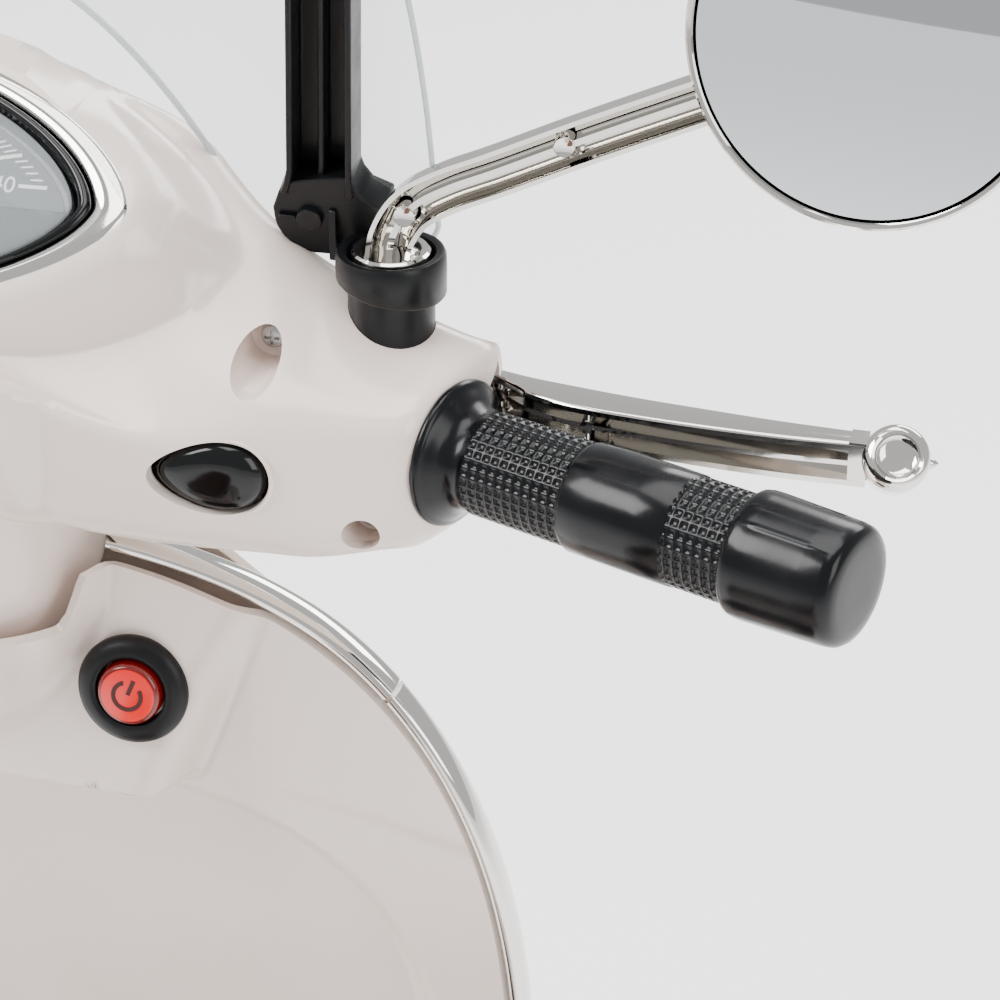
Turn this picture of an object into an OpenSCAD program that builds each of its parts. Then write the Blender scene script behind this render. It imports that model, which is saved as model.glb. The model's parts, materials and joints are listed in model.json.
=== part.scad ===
// Child's battery ride-on moped scooter. Millimetres, +X rider's right, +Y forward, +Z up.
// Origin: on the ground under the middle of the overall box.

/* [Wheels] */
// radius of the two road tyres
tyre_r = 120; // [105:1:130]
// width of the two road tyres
tyre_w = 62; // [50:1:70]
// radius of the stabiliser wheels
stab_r = 50; // [40:1:55]
// sideways position of the stabiliser wheels
stab_x = 165; // [150:1:180]

/* [Steering] */
// rake of the steering column from upright
rake = 21; // [16:1:26]
// height of the grip axis
bar_z = 650; // [620:1:680]
// sweep of each grip towards the rider
sweep = 22.5; // [15:0.5:28]
// length of one grip
grip_l = 119; // [100:1:130]
// outer radius of the grip barrel
grip_r = 14; // [12.5:0.5:16]

/* [Bodywork] */
// half width of the leg shield
shield_w = 162; // [150:1:190]
// height of the top of the leg shield
shield_top = 593; // [580:1:640]
// wall of the moulded panels
wall = 2.6; // [2:0.1:4]
// height of the floorboard
floor_z = 165; // [150:1:190]
// width of the seat cushion
seat_w = 172; // [140:1:190]

/* [Mirrors] */
// radius of the round mirrors
mirror_r = 46; // [38:1:50]
// height of the mirror centres
mirror_z = 762; // [740:1:800]

/* [Part] */
// sub-part to draw

/* [Hidden] */
ivory = [0.89, 0.86, 0.83];
black = [0.06, 0.06, 0.07];
chrome = [0.78, 0.79, 0.8];
steel = [0.5, 0.51, 0.53];
front_y = 412;
rear_y = -352;
axle_z = tyre_r;
axis_y = 185;
bar_y = 193.6;
bar_bend = 95;

// ---- helpers ----
// point on the steering axis, s millimetres above the height of the bars
function on_axis(s) = [0, axis_y - s * sin(rake), bar_z + s * cos(rake)];
function bow(t, n) = sign(t) * pow(abs(t), 2 / n);
function mix(a, b, t) = a + (b - a) * t;
function clip(t, a, b) = min(max(t, a), b);
function ease(t) = let(c = clip(t, 0, 1)) c * c * (3 - 2 * c);
function unit(v) = v / max(norm(v), 1e-9);
function slope_at(g, i, j, ni, nj) = unit(cross(
  g[min(i + 1, ni - 1)][j] - g[max(i - 1, 0)][j],
  g[i][min(j + 1, nj - 1)] - g[i][max(j - 1, 0)]));
function inset(g, t) = let(ni = len(g), nj = len(g[0]))
  [for (i = [0 : ni - 1]) [for (j = [0 : nj - 1]) g[i][j] - t * slope_at(g, i, j, ni, nj)]];
// thin moulded panel: surface grid g, wall t on the side away from its normal
module panel(g, t) {
  ni = len(g);
  nj = len(g[0]);
  h = inset(g, t);
  n = ni * nj;
  quads = concat(
    [for (i = [0 : ni - 2]) for (j = [0 : nj - 2])
      [i * nj + j + 1, (i + 1) * nj + j + 1, (i + 1) * nj + j, i * nj + j]],
    [for (i = [0 : ni - 2]) for (j = [0 : nj - 2])
      [n + i * nj + j, n + (i + 1) * nj + j, n + (i + 1) * nj + j + 1, n + i * nj + j + 1]],
    [for (j = [0 : nj - 2]) [j, n + j, n + j + 1, j + 1]],
    [for (j = [0 : nj - 2]) let(a = (ni - 1) * nj + j) [a + 1, n + a + 1, n + a, a]],
    [for (i = [0 : ni - 2]) [(i + 1) * nj, n + (i + 1) * nj, n + i * nj, i * nj]],
    [for (i = [0 : ni - 2]) let(a = i * nj + nj - 1) [a, n + a, n + a + nj, a + nj]]);
  tris = [for (q = quads) for (f = [[q[0], q[1], q[2]], [q[0], q[2], q[3]]])
    t > 0 ? f : [f[2], f[1], f[0]]];
  polyhedron(points = concat([for (r = g) for (p = r) p], [for (r = h) for (p = r) p]),
    faces = tris);
}
// solid skin over rings of points, closed by a flat cap at each end
module skin(g) {
  ni = len(g);
  nj = len(g[0]);
  polyhedron(points = [for (r = g) for (p = r) p], faces = concat(
    [for (i = [0 : ni - 2]) for (j = [0 : nj - 1]) let(k = (j + 1) % nj)
      [i * nj + j, i * nj + k, (i + 1) * nj + k]],
    [for (i = [0 : ni - 2]) for (j = [0 : nj - 1]) let(k = (j + 1) % nj)
      [i * nj + j, (i + 1) * nj + k, (i + 1) * nj + j]],
    [[for (j = [nj - 1 : -1 : 0]) j]],
    [[for (j = [0 : nj - 1]) (ni - 1) * nj + j]]));
}
// round bar between two points
module rod(a, b, r, bore = 0) {
  v = b - a;
  l = norm(v);
  translate(a) rotate([0, acos(v[2] / l), atan2(v[1], v[0])]) difference() {
    cylinder(r = r, h = l, $fn = 40);
    if (bore > 0) translate([0, 0, -1]) cylinder(r = bore, h = l + 2, $fn = 40);
  }
}
// stands a child on the steering axis, its Z along the axis, s above the bars
module on_column(s) {
  translate(on_axis(s)) rotate([rake, 0, 0]) children();
}
// local Z outward along the right-hand grip, starting s from the flange
module on_grip(s) {
  translate([152 + s * cos(sweep), bar_y - (152 - bar_bend) * tan(sweep) - s * sin(sweep), bar_z])
    rotate([0, 90, -sweep]) children();
}
// child turned so that its Z lies along +X
module across(x, y, z) {
  translate([x, y, z]) rotate([0, 90, 0]) children();
}

// ---- leg shield ----
function shield_y(x, z) = 200 + 0.14 * (590 - z) - 0.0012 * x * x;
function shield_hi(x) = 420 + (shield_top - 420)
  * pow(max(1 - pow(min(abs(x) / shield_w, 1), 3.2), 0), 1 / 3.2);
function shield_lo(x) = abs(x) > shield_w - 50
  ? 420 - 253 * sqrt(max(shield_w - abs(x), 0) / 50) : 167;
function notch(x) = 577 + 40 * ease((abs(x) - 40) / 16);
function inner_hi(x) = min(shield_hi(x), notch(x));
// raised switch panel, collar round the steering neck, and the shallow recess below them
function shelf(x, z) = (4 + 0.3 * (590 - z)) * exp(-pow(abs(x) / (66 + 0.4 * (z - 520)), 24));
function collar(x, z) = let(w = 51 * sqrt(clip((z - 514) / 66, 0, 1)))
  0.934 * sqrt(max(w * w - x * x, 0)) - 6;
function swell(a, b) = a + ((b - a) + sqrt((b - a) * (b - a) + 16)) / 2;
function raise(x, z) = swell(shelf(x, z), collar(x, z)) * ease((z - 517) / 8);
function recess(x, z) = let(w = 141 - 50 * pow(clip((420 - z) / 250, 0, 1), 2),
  f = pow(abs(x) / w, 3.6) + pow(max(z - 400, 0) / 116, 3.6))
  5 * ease((1.03 - f) / 0.2) * ease((z - 178) / 8);
function inner_y(x, z) = shield_y(x, z) - raise(x, z) + recess(x, z);
shield_xs = [12, 24, 34, 41, 47, 53, 62, 70, 78, 84, 94, 110, 128, 143, 154, 159.5, 161.6];
shield_cols = concat([for (k = [16 : -1 : 0]) -shield_xs[k]], shield_xs);
shield_rows = [0, 0.05, 0.2, 0.4, 0.6, 0.74, 0.8, 0.825, 0.86, 0.93, 1];
function inner_grid() = [for (x = shield_cols)
  [for (k = shield_rows) let(z = mix(shield_lo(x), inner_hi(x), k)) [x, inner_y(x, z), z]]];
function spine(z) = on_axis((z - bar_z) / cos(rake))[1] + 56 - shield_y(0, z);
function front_lo(x) = max(shield_lo(x), 312 - 136 * ease((abs(x) - 66) / 44));
function front_grid() = [for (a = [-84 : 7 : 84]) let(x = (shield_w - 3) * sin(a))
  [for (k = [0 : 8]) let(z = mix(front_lo(x), shield_hi(x) - 5 * ease((80 - abs(x)) / 30) - 1, k / 8))
    [x, shield_y(x, z) + 7 + 6 * ease((shield_w - abs(x)) / 26) * ease((shield_hi(x) - z) / 26)
      + (spine(z) - 13) * exp(-pow(abs(x) / 72, 2.2)), z]]];
module leg_shield_inner() {
  color(ivory) difference() {
    panel(inner_grid(), wall);
    on_switch() translate([0, 0, -30]) cylinder(r = 11, h = 60, $fn = 48);
    on_switch() translate([0, 0, -0.1]) cylinder(r = 15.8, h = 30, $fn = 48);
    translate([-12.4, 240, 160]) cube([24.8, 40, 37]);
  }
}
module leg_shield_front() {
  color(ivory) panel(front_grid(), -wall);
}
// beading along the edge of the shield, drawn between two edge positions
function edge_x(q) = shield_w * sin(q);
function edge_pt(side, q) = let(x = abs(edge_x(q)), up = q < 90,
  z = up ? shield_hi(min(x, shield_w - 0.4)) : shield_lo(min(x, shield_w - 0.4)))
  [side * (x + 4 * ease((x - 50) / 90)), shield_y(x, z) + 3, z + (up ? 4 * ease((shield_w - x) / 60) : 0)];
function bead_ring(side, q, w, h) = let(p = edge_pt(side, q), d = 1.5,
  t = unit(edge_pt(side, q + d) - edge_pt(side, q - d)), n = unit(cross(t, [0, 1, 0])), b = cross(n, t))
  [for (k = [0 : 9]) p + n * w * cos(k * 36) + b * h * sin(k * 36)];
module bead(side, q0, q1, steps) {
  skin([for (k = [0 : steps]) bead_ring(side, mix(q0, q1, k / steps), 2.8, 5.2)]);
}
module trim_upper() {
  color(chrome) {
    bead(1, 17.5, 54, 13);
    bead(-1, 17.5, 54, 13);
  }
}
module trim_lower() {
  color(chrome) {
    bead(1, 54.6, 128, 20);
    bead(-1, 54.6, 128, 20);
  }
}
module on_switch() {
  translate([58, inner_y(58, 558) - 1, 558]) rotate([81, 0, 0]) children();
}
module switch_bezel() {
  color(black) on_switch() difference() {
    union() {
      cylinder(r = 15.4, h = 4.8, $fn = 48);
      translate([0, 0, -13]) cylinder(r = 10.6, h = 14, $fn = 48);
    }
    translate([0, 0, -11]) cylinder(r = 9.4, h = 20, $fn = 48);
  }
}
module power_button() {
  color([0.75, 0.1, 0.08]) on_switch()
    translate([0, 0, -7]) cylinder(r = 9, h = 13.4, $fn = 48);
}

// ---- frame and running gear ----
module frame() {
  color(steel) difference() {
    union() {
      on_column(-350) cylinder(r = 21, h = 196, $fn = 48);
      rod([0, 262, 405], [0, 274, 188], 11);
      rod([0, 276, 192], [0, 236, 130], 10.6);
      rod([0, 243, 132], [0, -190, 132], 11.3);
      rod([-66, -190, 132], [66, -190, 132], 12);
      for (x = [-60, 60]) {
        rod([x, -190, 132], [x, -334, 124], 9);
        translate([x - 3, rear_y - 22, axle_z - 22]) cube([6, 60, 44]);
        rod([x, -334, 132], [x, -300, 330], 7.6);
        rod([x, -190, 134], [x, -120, 330], 7.4);
      }
      rod([-69, -300, 330], [69, -300, 330], 8.4);
      rod([-69, -120, 330], [69, -120, 330], 8.4);
    }
    on_column(-352) cylinder(r = 16.5, h = 240, $fn = 48);
    across(-80, rear_y, axle_z) cylinder(r = 6, h = 160, $fn = 32);
  }
}
module steering_bushes() {
  color(black) for (s = [-350, -183]) on_column(s) difference() {
    cylinder(r = 16.4, h = 28, $fn = 48);
    translate([0, 0, -1]) cylinder(r = 14.08, h = 30, $fn = 48);
  }
}
module rear_axle() {
  color(steel) {
    across(-74, rear_y, axle_z) cylinder(r = 5.9, h = 148, $fn = 32);
    for (x = [-78, 70]) across(x, rear_y, axle_z) cylinder(r = 10, h = 8, $fn = 6);
  }
}
module stabiliser_brackets() {
  color(steel) for (m = [0, 1]) mirror([m, 0, 0]) {
    translate([69.3, -330, 98]) cube([4, 60, 30]);
    rod([76, -300, 108], [142, -300, 50], 6);
    rod([69.5, -300, 108], [78, -300, 108], 8);
    across(139, -300, 50) cylinder(r = 9, h = 6, $fn = 32);
    across(140, -300, 50) cylinder(r = 5, h = 48, $fn = 32);
    across(182.5, -300, 50) cylinder(r = 8, h = 5, $fn = 6);
  }
}
module stab_wheel() {
  color(black) across(stab_x - 15, -300, stab_r) rotate_extrude($fn = 64)
    polygon([[5.08, -2], [14, -2], [14, 4], [40, 6], [40, 1], [45, 0], [stab_r, 4],
      [stab_r, 26], [45, 30], [40, 29], [40, 24], [14, 26], [14, 31], [5.08, 31]]);
}
module stabiliser_wheel_right() {
  stab_wheel();
}
module stabiliser_wheel_left() {
  mirror([1, 0, 0]) stab_wheel();
}
module tyre() {
  h = tyre_w / 2;
  color([0.08, 0.08, 0.08]) across(0, 0, 0) difference() {
    rotate_extrude($fn = 96) polygon([[80, -23.8], [82.6, -23.8], [88, -28], [100, -h], [110, 2 - h],
      [116, 8 - h], [tyre_r - 1, 14 - h], [tyre_r, 20 - h], [tyre_r, h - 20],
      [tyre_r - 1, h - 14], [116, h - 8], [110, h - 2], [100, h], [88, 28],
      [82.6, 23.8], [80, 23.8]]);
    for (k = [-12, 0, 12]) translate([0, 0, k - 1.5]) difference() {
      cylinder(r = tyre_r + 2, h = 3, $fn = 96);
      translate([0, 0, -1]) cylinder(r = tyre_r - 3, h = 5, $fn = 96);
    }
  }
}
module rim(bore) {
  color([0.75, 0.76, 0.78]) across(0, 0, 0) difference() {
    rotate_extrude($fn = 96) polygon([[bore, -33], [17, -33], [17, -14], [30, -6], [66, -5],
      [72, -24], [82, -27], [82, -24.2], [79.8, -24], [79.8, 24], [82, 24.2], [82, 27],
      [72, 24], [66, 5], [30, 6], [17, 14], [17, 33], [bore, 33]]);
    for (k = [0 : 4]) rotate([0, 0, k * 72 + 36]) translate([49, 0, -20])
      cylinder(r = 11.5, h = 40, $fn = 40);
  }
}
module front_tyre() {
  translate([0, front_y, axle_z]) tyre();
}
module front_rim() {
  translate([0, front_y, axle_z]) rim(6.05);
}
module rear_tyre() {
  translate([0, rear_y, axle_z]) tyre();
}
module rear_rim() {
  translate([0, rear_y, axle_z]) rim(6.0);
}
// toothed disc along +X: n teeth on pitch radius r
module gear(n, r, w, bore) {
  difference() {
    union() {
      cylinder(r = r - 1.7, h = w, $fn = 64);
      for (k = [0 : n - 1]) rotate([0, 0, k * 360 / n]) linear_extrude(w)
        polygon([[r - 3, -1.25], [r + 1.1, -0.55], [r + 1.1, 0.55], [r - 3, 1.25]]);
    }
    translate([0, 0, -1]) cylinder(r = bore, h = w + 2, $fn = 40);
  }
}
module drive_gear() {
  color([0.85, 0.84, 0.8]) across(-44, rear_y, axle_z) gear(48, 48, 8, 17.1);
}
module motor_pinion() {
  color(steel) across(-44, rear_y + 56.6, axle_z + 20.6) rotate([0, 0, 25])
    gear(12, 12, 8, 3.05);
}
module gearbox_case() {
  color(black) difference() {
    union() {
      across(-51, rear_y, axle_z) cylinder(r = 55, h = 3, $fn = 64);
      across(-51, rear_y + 56.6, axle_z + 20.6) cylinder(r = 22, h = 3, $fn = 48);
    }
    across(-60, rear_y, axle_z) cylinder(r = 18, h = 20, $fn = 48);
    across(-60, rear_y + 56.6, axle_z + 20.6) cylinder(r = 3.4, h = 20, $fn = 48);
  }
}
module motor() {
  color([0.6, 0.61, 0.62]) {
    across(-121, rear_y + 56.6, axle_z + 20.6) cylinder(r = 18, h = 46, $fn = 48);
    across(-125, rear_y + 56.6, axle_z + 20.6) cylinder(r = 7, h = 5, $fn = 48);
    across(-76, rear_y + 56.6, axle_z + 20.6) cylinder(r = 3, h = 40, $fn = 32);
  }
}
module battery() {
  color([0.2, 0.2, 0.22]) {
    translate([-35, -166, 143.6]) cube([70, 90, 95.6]);
    translate([-28, -158, 239]) cube([7, 12, 6]);
    translate([21, -158, 239]) cube([7, 12, 6]);
  }
}

// ---- floor, pedal ----
module slab(x, y0, y1, z0, z1, r) {
  translate([0, 0, z0]) {
    translate([-x, y0 + r, 0]) cube([2 * x, y1 - y0 - 2 * r, z1 - z0]);
    translate([r - x, y0, 0]) cube([2 * x - 2 * r, y1 - y0, z1 - z0]);
    for (sx = [-1, 1]) for (y = [y0 + r, y1 - r]) translate([sx * (x - r), y, 0])
      cylinder(r = r, h = z1 - z0, $fn = 40);
  }
}
module floor_tray() {
  color(ivory) difference() {
    slab(128, -28, 256, 143.5, floor_z, 22);
    slab(124, -24, 252, 140, floor_z - 4, 19);
    translate([-15, 226, 130]) cube([30, 40, 60]);
    translate([52, 176, 130]) cube([56, 70, 60]);
  }
}
module floor_mat() {
  color(black) difference() {
    union() {
      slab(104, -25, 168, floor_z + 0.02, floor_z + 2.5, 12);
      for (k = [-4 : 4]) translate([k * 22 - 4, -20, floor_z + 2]) cube([8, 178, 2.5]);
    }
  }
}
module pedal_housing() {
  color(black) {
    difference() {
      translate([54, 178, 150]) cube([52, 66, floor_z + 3 - 150]);
      translate([57, 180, 153]) cube([46, 62, 40]);
    }
    across(55, 186, 160) cylinder(r = 2.6, h = 50, $fn = 32);
  }
}
module pedal() {
  color([0.25, 0.25, 0.27]) difference() {
    union() {
      across(58.5, 186, 160) cylinder(r = 5, h = 43, $fn = 32);
      translate([58.5, 186, 160]) rotate([9, 0, 0]) {
        translate([0, -1, 2.6]) cube([43, 50, 4.6]);
        for (k = [0 : 5]) translate([1.5, 5 + k * 7.4, 6]) cube([40, 3, 3]);
      }
    }
    across(50, 186, 160) cylinder(r = 2.68, h = 60, $fn = 32);
  }
}

// ---- tail, cowls, seat ----
function tail_w(t) = 92 * pow(max(1 - pow(t, 3.2), 0.0009), 0.5);
function tail_h(t) = 96 + 116 * pow(max(1 - pow(t, 4), 0.0009), 0.5) - 30 * t;
function tail_pt(t, a) = [tail_w(t) * bow(cos(a), 3.2), -36 - 492 * t,
  204 + 34 * t + (tail_h(t) - 34 * t) * bow(sin(a), 3.0)];
function tail_grid() = [for (i = [-3 : 18]) let(t = sin(max(i, 0) * 5),
  f = i < 0 ? [0.05, 0.6, 0.96][i + 3] : 1)
  [for (j = [0 : 18]) let(p = tail_pt(t, -12 + j * 204 / 18))
    [p[0] * f, p[1] + (i < 0 ? [6, 6, 4][i + 3] : 0), mix(250, p[2], f)]]];
module tail_body() {
  color(ivory) difference() {
    panel(tail_grid(), wall);
    translate([-45, -250, 380]) cube([90, 150, 60]);
    translate([-30.4, -540, 287.6]) cube([60.8, 24.8, 24.8]);
    translate([-24.4, -540, 286.6]) cube([48.8, 24.8, 26.8]);
  }
}
function cowl_grid() = [for (i = [-8 : 8]) let(u = i / 8) [for (j = [-7 : 7]) let(v = j / 7,
  p = u * sqrt(1 - v * v / 2), q = v * sqrt(1 - u * u / 2), r = min(p * p + q * q, 1))
  [95.8 + 52.6 * sqrt(max(1 - pow(r, 1.3), 0)), -300 + 168 * p,
    252 + 88 * q - 26 * p * p * (p < 0 ? -1 : 0.4)]]];
module cowl_right() {
  color(ivory) panel(cowl_grid(), wall);
}
module cowl_left() {
  color(ivory) mirror([1, 0, 0]) panel(cowl_grid(), wall);
}
module tail_lamp() {
  color([0.65, 0.05, 0.05]) translate([0, -519, 300]) difference() {
    union() {
      translate([-24, -9, -13]) cube([48, 12, 26]);
      across(-30, -3, 0) cylinder(r = 12, h = 60, $fn = 40);
    }
    translate([-40, 3, -30]) cube([80, 30, 60]);
  }
}
module plate_holder() {
  color(black) difference() {
    union() {
      translate([-42, -499, 132]) cube([84, 3, 70]);
      translate([-20, -497, 198]) cube([40, 30, 4]);
      translate([-20, -470, 198]) cube([40, 3, 44]);
    }
    for (x = [-30, 30]) translate([x, -510, 182]) rotate([-90, 0, 0])
      cylinder(r = 2.5, h = 30, $fn = 32);
  }
}
function seat_grid(w, z, h) = [for (i = [0 : 16]) let(t = -1 + i / 8,
  y = -236 + 196 * sin(t * 90), e = cos(t * 90)) [for (j = [0 : 15]) let(a = j * 22.5)
  [w * (0.62 + 0.38 * ease((0.4 - t) / 0.9)) * pow(max(e, 0.02), 0.45) * bow(cos(a), 3.4),
    y, z + h * pow(max(e, 0.02), 0.35) * bow(sin(a), 3.2) - 9 * t * t + 10 * ease(-t - 0.1)]]];
module seat_base() {
  color(black) {
    difference() {
      union() {
        translate([-58, -330, 422]) cube([116, 210, 7]);
        translate([-46, -124, 422]) cube([92, 62, 7]);
        for (x = [-32, 20]) {
          translate([x, -64, 422]) cube([12, 18, 6.5]);
          across(x, -46, 424) cylinder(r = 5.5, h = 12, $fn = 32);
        }
        for (x = [-34, 34]) translate([x, -280, 399]) cylinder(r = 9, h = 24, $fn = 40);
      }
      across(-60, -46, 424) cylinder(r = 3.06, h = 120, $fn = 32);
    }
  }
}
module seat_cushion() {
  color([0.28, 0.16, 0.1]) difference() {
    skin(seat_grid(seat_w / 2 * 1.11, 449, 21));
    translate([-200, -500, 380]) cube([400, 600, 50]);
  }
}
module seat_hinge_pin() {
  color(steel) {
    across(-44, -46, 424) cylinder(r = 3, h = 88, $fn = 32);
    for (x = [-43, 35]) translate([x, -52, 416.4]) cube([8, 12, 11.6]);
  }
}

// ---- headset: section of the housing at sideways position x ----
function hs_back(x) = 138 + 17 * pow(abs(x) / 150, 2);
function hs_front(x) = 192 + 66 * exp(-pow(abs(x) / 66, 3)) + 16 * exp(-pow(abs(x) / 118, 6));
function hs_low(x) = 625 + 1.5 * exp(-pow(abs(x) / 60, 2)) + 4.5 * ease((abs(x) - 118) / 34);
function hs_high(x) = 667 + 17 * exp(-pow(abs(x) / 125, 6)) + 45 * exp(-pow(abs(x) / 58, 2.6));
function hs_rise(x) = 0.16 + 0.3 * exp(-pow(abs(x) / 135, 8)) + 0.34 * exp(-pow(abs(x) / 98, 8));
function hs_lean(x, y, yc) = hs_rise(x) * (min(y, 212) - yc)
  - 0.9 * max(y - 212, 0) * exp(-pow(abs(x) / 66, 3));
function hs_power(x) = mix(4.2, 3, ease((60 - abs(x)) / 60)) + 1.3 * ease((abs(x) - 105) / 35);
function hs_pt(x, a, s) = let(b = hs_back(x), f = hs_front(x), l = hs_low(x),
  h = hs_high(x), yc = (b + f) / 2, zc = (l + h) / 2, n = hs_power(x),
  y = yc + (f - b) / 2 * s * bow(cos(a), n), zr = bow(sin(a), n) * s,
  lean = hs_lean(x, y, yc) * max(zr, 0),
  xx = x + sign(x) * (y - 172) * tan(sweep) * ease((abs(x) - 90) / 60))
  [xx, y, zc + (h - l) / 2 * zr + lean];
xs_back = [150.2, 150, 147, 140, 126, 108, 90, 72, 54, 34, 12];
function mirrored(v) = concat([for (k = [len(v) - 1 : -1 : 0]) -v[k]], v);
function shrink(k, n) = k == 0 || k == n ? 0.8 : 1;
hs_x = concat([for (v = xs_back) -v], [for (k = [len(xs_back) - 1 : -1 : 0]) xs_back[k]]);
hs_n = len(hs_x) - 1;
// the two shells stop short of the instrument, so its opening lies between them
function dash_edge(x, d) = 173 + 0.788 * (-6 + d * pow(max(1 - pow(abs(x) / 70, 1.6), 0), 0.625));
function angle_at(x, y) = let(b = hs_back(x), f = hs_front(x),
  t = clip((2 * y - b - f) / (f - b), -1, 1)) acos(sign(t) * pow(abs(t), hs_power(x) / 2));
function rear_from(x) = abs(x) < 70 ? max(52, angle_at(x, dash_edge(x, -35)) + 2) : 52;
function front_to(x) = abs(x) < 70 ? max(51, angle_at(x, dash_edge(x, 43)) - 2) : 51;
module headset_rear() {
  color(ivory) difference() {
    panel([for (i = [0 : hs_n]) [for (j = [0 : 16]) hs_pt(hs_x[i], mix(rear_from(hs_x[i]), 298, j / 16),
      shrink(i, hs_n))]], wall);
    for (m = [-1, 1]) {
      translate([m * 95.8, 160, 650]) rotate([90, 0, 0]) mirror([m < 0 ? 1 : 0, 0, 0])
        linear_extrude(40) polygon(egg(1.04));
      translate([m * 132, 186, 664]) cylinder(r = 9.3, h = 50, $fn = 40);
      translate([m * 132, 164, 634]) rotate([90, 0, 0]) cylinder(r = 4.6, h = 40, $fn = 40);
      translate([m * 104, 176, 673.5]) rotate([90, 0, 0]) cylinder(r = 5.8, h = 60, $fn = 40);
    }
    for (m = [0, 1]) mirror([m, 0, 0]) {
      on_grip(-1.8) cylinder(r = 19.4, h = 14, $fn = 64);
      bracket_room();
    }
    translate([0, 230, 655]) rotate([-90, 0, 0]) cylinder(r = 40, h = 60, $fn = 48);
    on_column(-84) cylinder(r = 43.6, h = 70, $fn = 64);
  }
}
module headset_front() {
  color(ivory) difference() {
    panel([for (i = [1 : hs_n - 1]) [for (j = [0 : 10])
      hs_pt(hs_x[i], mix(-61, front_to(hs_x[i]), j / 10), 1)]], wall);
    translate([0, 230, 655]) rotate([-90, 0, 0]) cylinder(r = 40, h = 60, $fn = 48);
    on_column(-84) cylinder(r = 43.6, h = 70, $fn = 64);
    for (m = [-1, 1]) {
      translate([m * 132, 186, 660]) cylinder(r = 9.3, h = 50, $fn = 40);
      translate([m * 151 - 14.6, 191.4, 648.7]) cube([29.2, 24.9, 12.5]);
    }
    translate([0, 261.4, 655]) rotate([-90, 0, 0]) cylinder(r = 45, h = 60, $fn = 72);
    for (m = [0, 1]) mirror([m, 0, 0]) {
      translate([bar_bend - 12.4, bar_y - 14.4, bar_z - 12.4]) cube([26.8, 24.8, 24.8]);
      bracket_room();
    }
    windscreen_room();
  }
  color(ivory) for (m = [0, 1]) mirror([m, 0, 0]) {
    for (z = [645.2, 661.4]) {
      translate([137.4, 188, z]) cube([11.6, 15, 3.2]);
      translate([142.5, 203, z]) cylinder(r = 6.5, h = 3.2, $fn = 40);
    }
    translate([142.5, 203, 647]) cylinder(r = 2.5, h = 16, $fn = 32);
  }
}
module neck_cover() {
  color(ivory) on_column(-80) rotate_extrude($fn = 64)
    polygon([[30, 0], [38, 0], [40.6, 5], [42.4, 12], [43, 20], [42.6, 30], [40.6, 60],
      [37.6, 60], [39.5, 30], [39.8, 20], [38, 8], [36.5, 3.6], [30, 3.6]]);
}
module headset_screws() {
  color(steel) for (m = [-1, 1]) {
    translate([m * 104, 180, 673.5]) rotate([90, 0, 0]) cylinder(r = 3.8, h = 10, $fn = 32);
    translate([m * 132, 166, 634]) rotate([90, 0, 0]) cylinder(r = 3.8, h = 10, $fn = 32);
  }
}
module steering_stem() {
  color(steel) {
    on_column(-430) cylinder(r = 14, h = 414, $fn = 48);
    on_column(-118) cylinder(r = 20, h = 4, $fn = 48);
  }
}
module handlebar_tube() {
  p = [bar_bend, bar_y, bar_z];
  e = [152 + (grip_l - 6) * cos(sweep),
    bar_y - (152 - bar_bend) * tan(sweep) - (grip_l - 6) * sin(sweep), bar_z];
  color(steel) {
    rod([-bar_bend, bar_y, bar_z], p, 11);
    for (m = [0, 1]) mirror([m, 0, 0]) {
      rod(p + [3, -1.2, 0], e, 11);
      translate(p - [12, 14, 12]) cube([26, 24, 24]);
    }
  }
}
module grip() {
  color(black) on_grip(-1.4) rotate_extrude($fn = 64) polygon([[11.05, 0], [18, 0], [19, 1.4],
    [19, 3.4], [17.6, 4.6], [16.6, 4.8], [16.2, 6.2], [14.2, 7.4], [13, 9], [12.8, 13],
    [13, 14], [13, 39], [13.6, 40], [14, 41], [14.2, 66], [14, 67], [14, 83], [14.6, 84],
    [15.8, 86], [16, 88], [15.6, grip_l - 3], [14.6, grip_l - 0.6], [13, grip_l],
    [0, grip_l], [0, grip_l - 3], [11.05, grip_l - 3]]);
}
module grip_right() {
  grip();
}
module grip_left() {
  mirror([1, 0, 0]) grip();
}
// ---- instrument cluster, on a plane tilted towards the rider ----
module on_dash(h) {
  translate([0, 173, 712]) rotate([38, 0, 0]) translate([0, 0, h]) children();
}
function shield_line(k) = [for (a = [0 : 9 : 351])
  [70 * k * bow(cos(a), 1.6), (sin(a) < 0 ? 34 : 42) * k * bow(sin(a), 1.6) - 6]];
module speedo_surround() {
  color(chrome) on_dash(-16) difference() {
    linear_extrude(20) polygon(shield_line(1));
    translate([0, 0, -1]) linear_extrude(30) polygon(shield_line(0.87));
  }
}
module speedo_case() {
  color(black) on_dash(-18) difference() {
    linear_extrude(19) polygon(shield_line(0.86));
    translate([0, 0, 12]) linear_extrude(20) polygon(shield_line(0.79));
  }
}
module speedo_lens() {
  color([0.8, 0.85, 0.9, 0.3]) on_dash(-1.6) linear_extrude(1.6) polygon(shield_line(0.785));
}
module headlamp_rim() {
  color(chrome) translate([0, 250, 655]) rotate([-90, 0, 0]) rotate_extrude($fn = 72)
    polygon([[33, 0], [39.4, 0], [39.4, 12], [43.5, 13], [44.6, 16], [43, 20], [38, 22],
      [34, 20], [33, 16]]);
}
module headlamp_lens() {
  color([0.85, 0.88, 0.9, 0.5]) translate([0, 250, 655]) rotate([-90, 0, 0])
    rotate_extrude($fn = 72) polygon([[0, 22], [12, 21.4], [24, 19.4], [32.8, 15.6],
      [32.8, 13], [24, 16.6], [12, 18.6], [0, 19.2]]);
}
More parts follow.
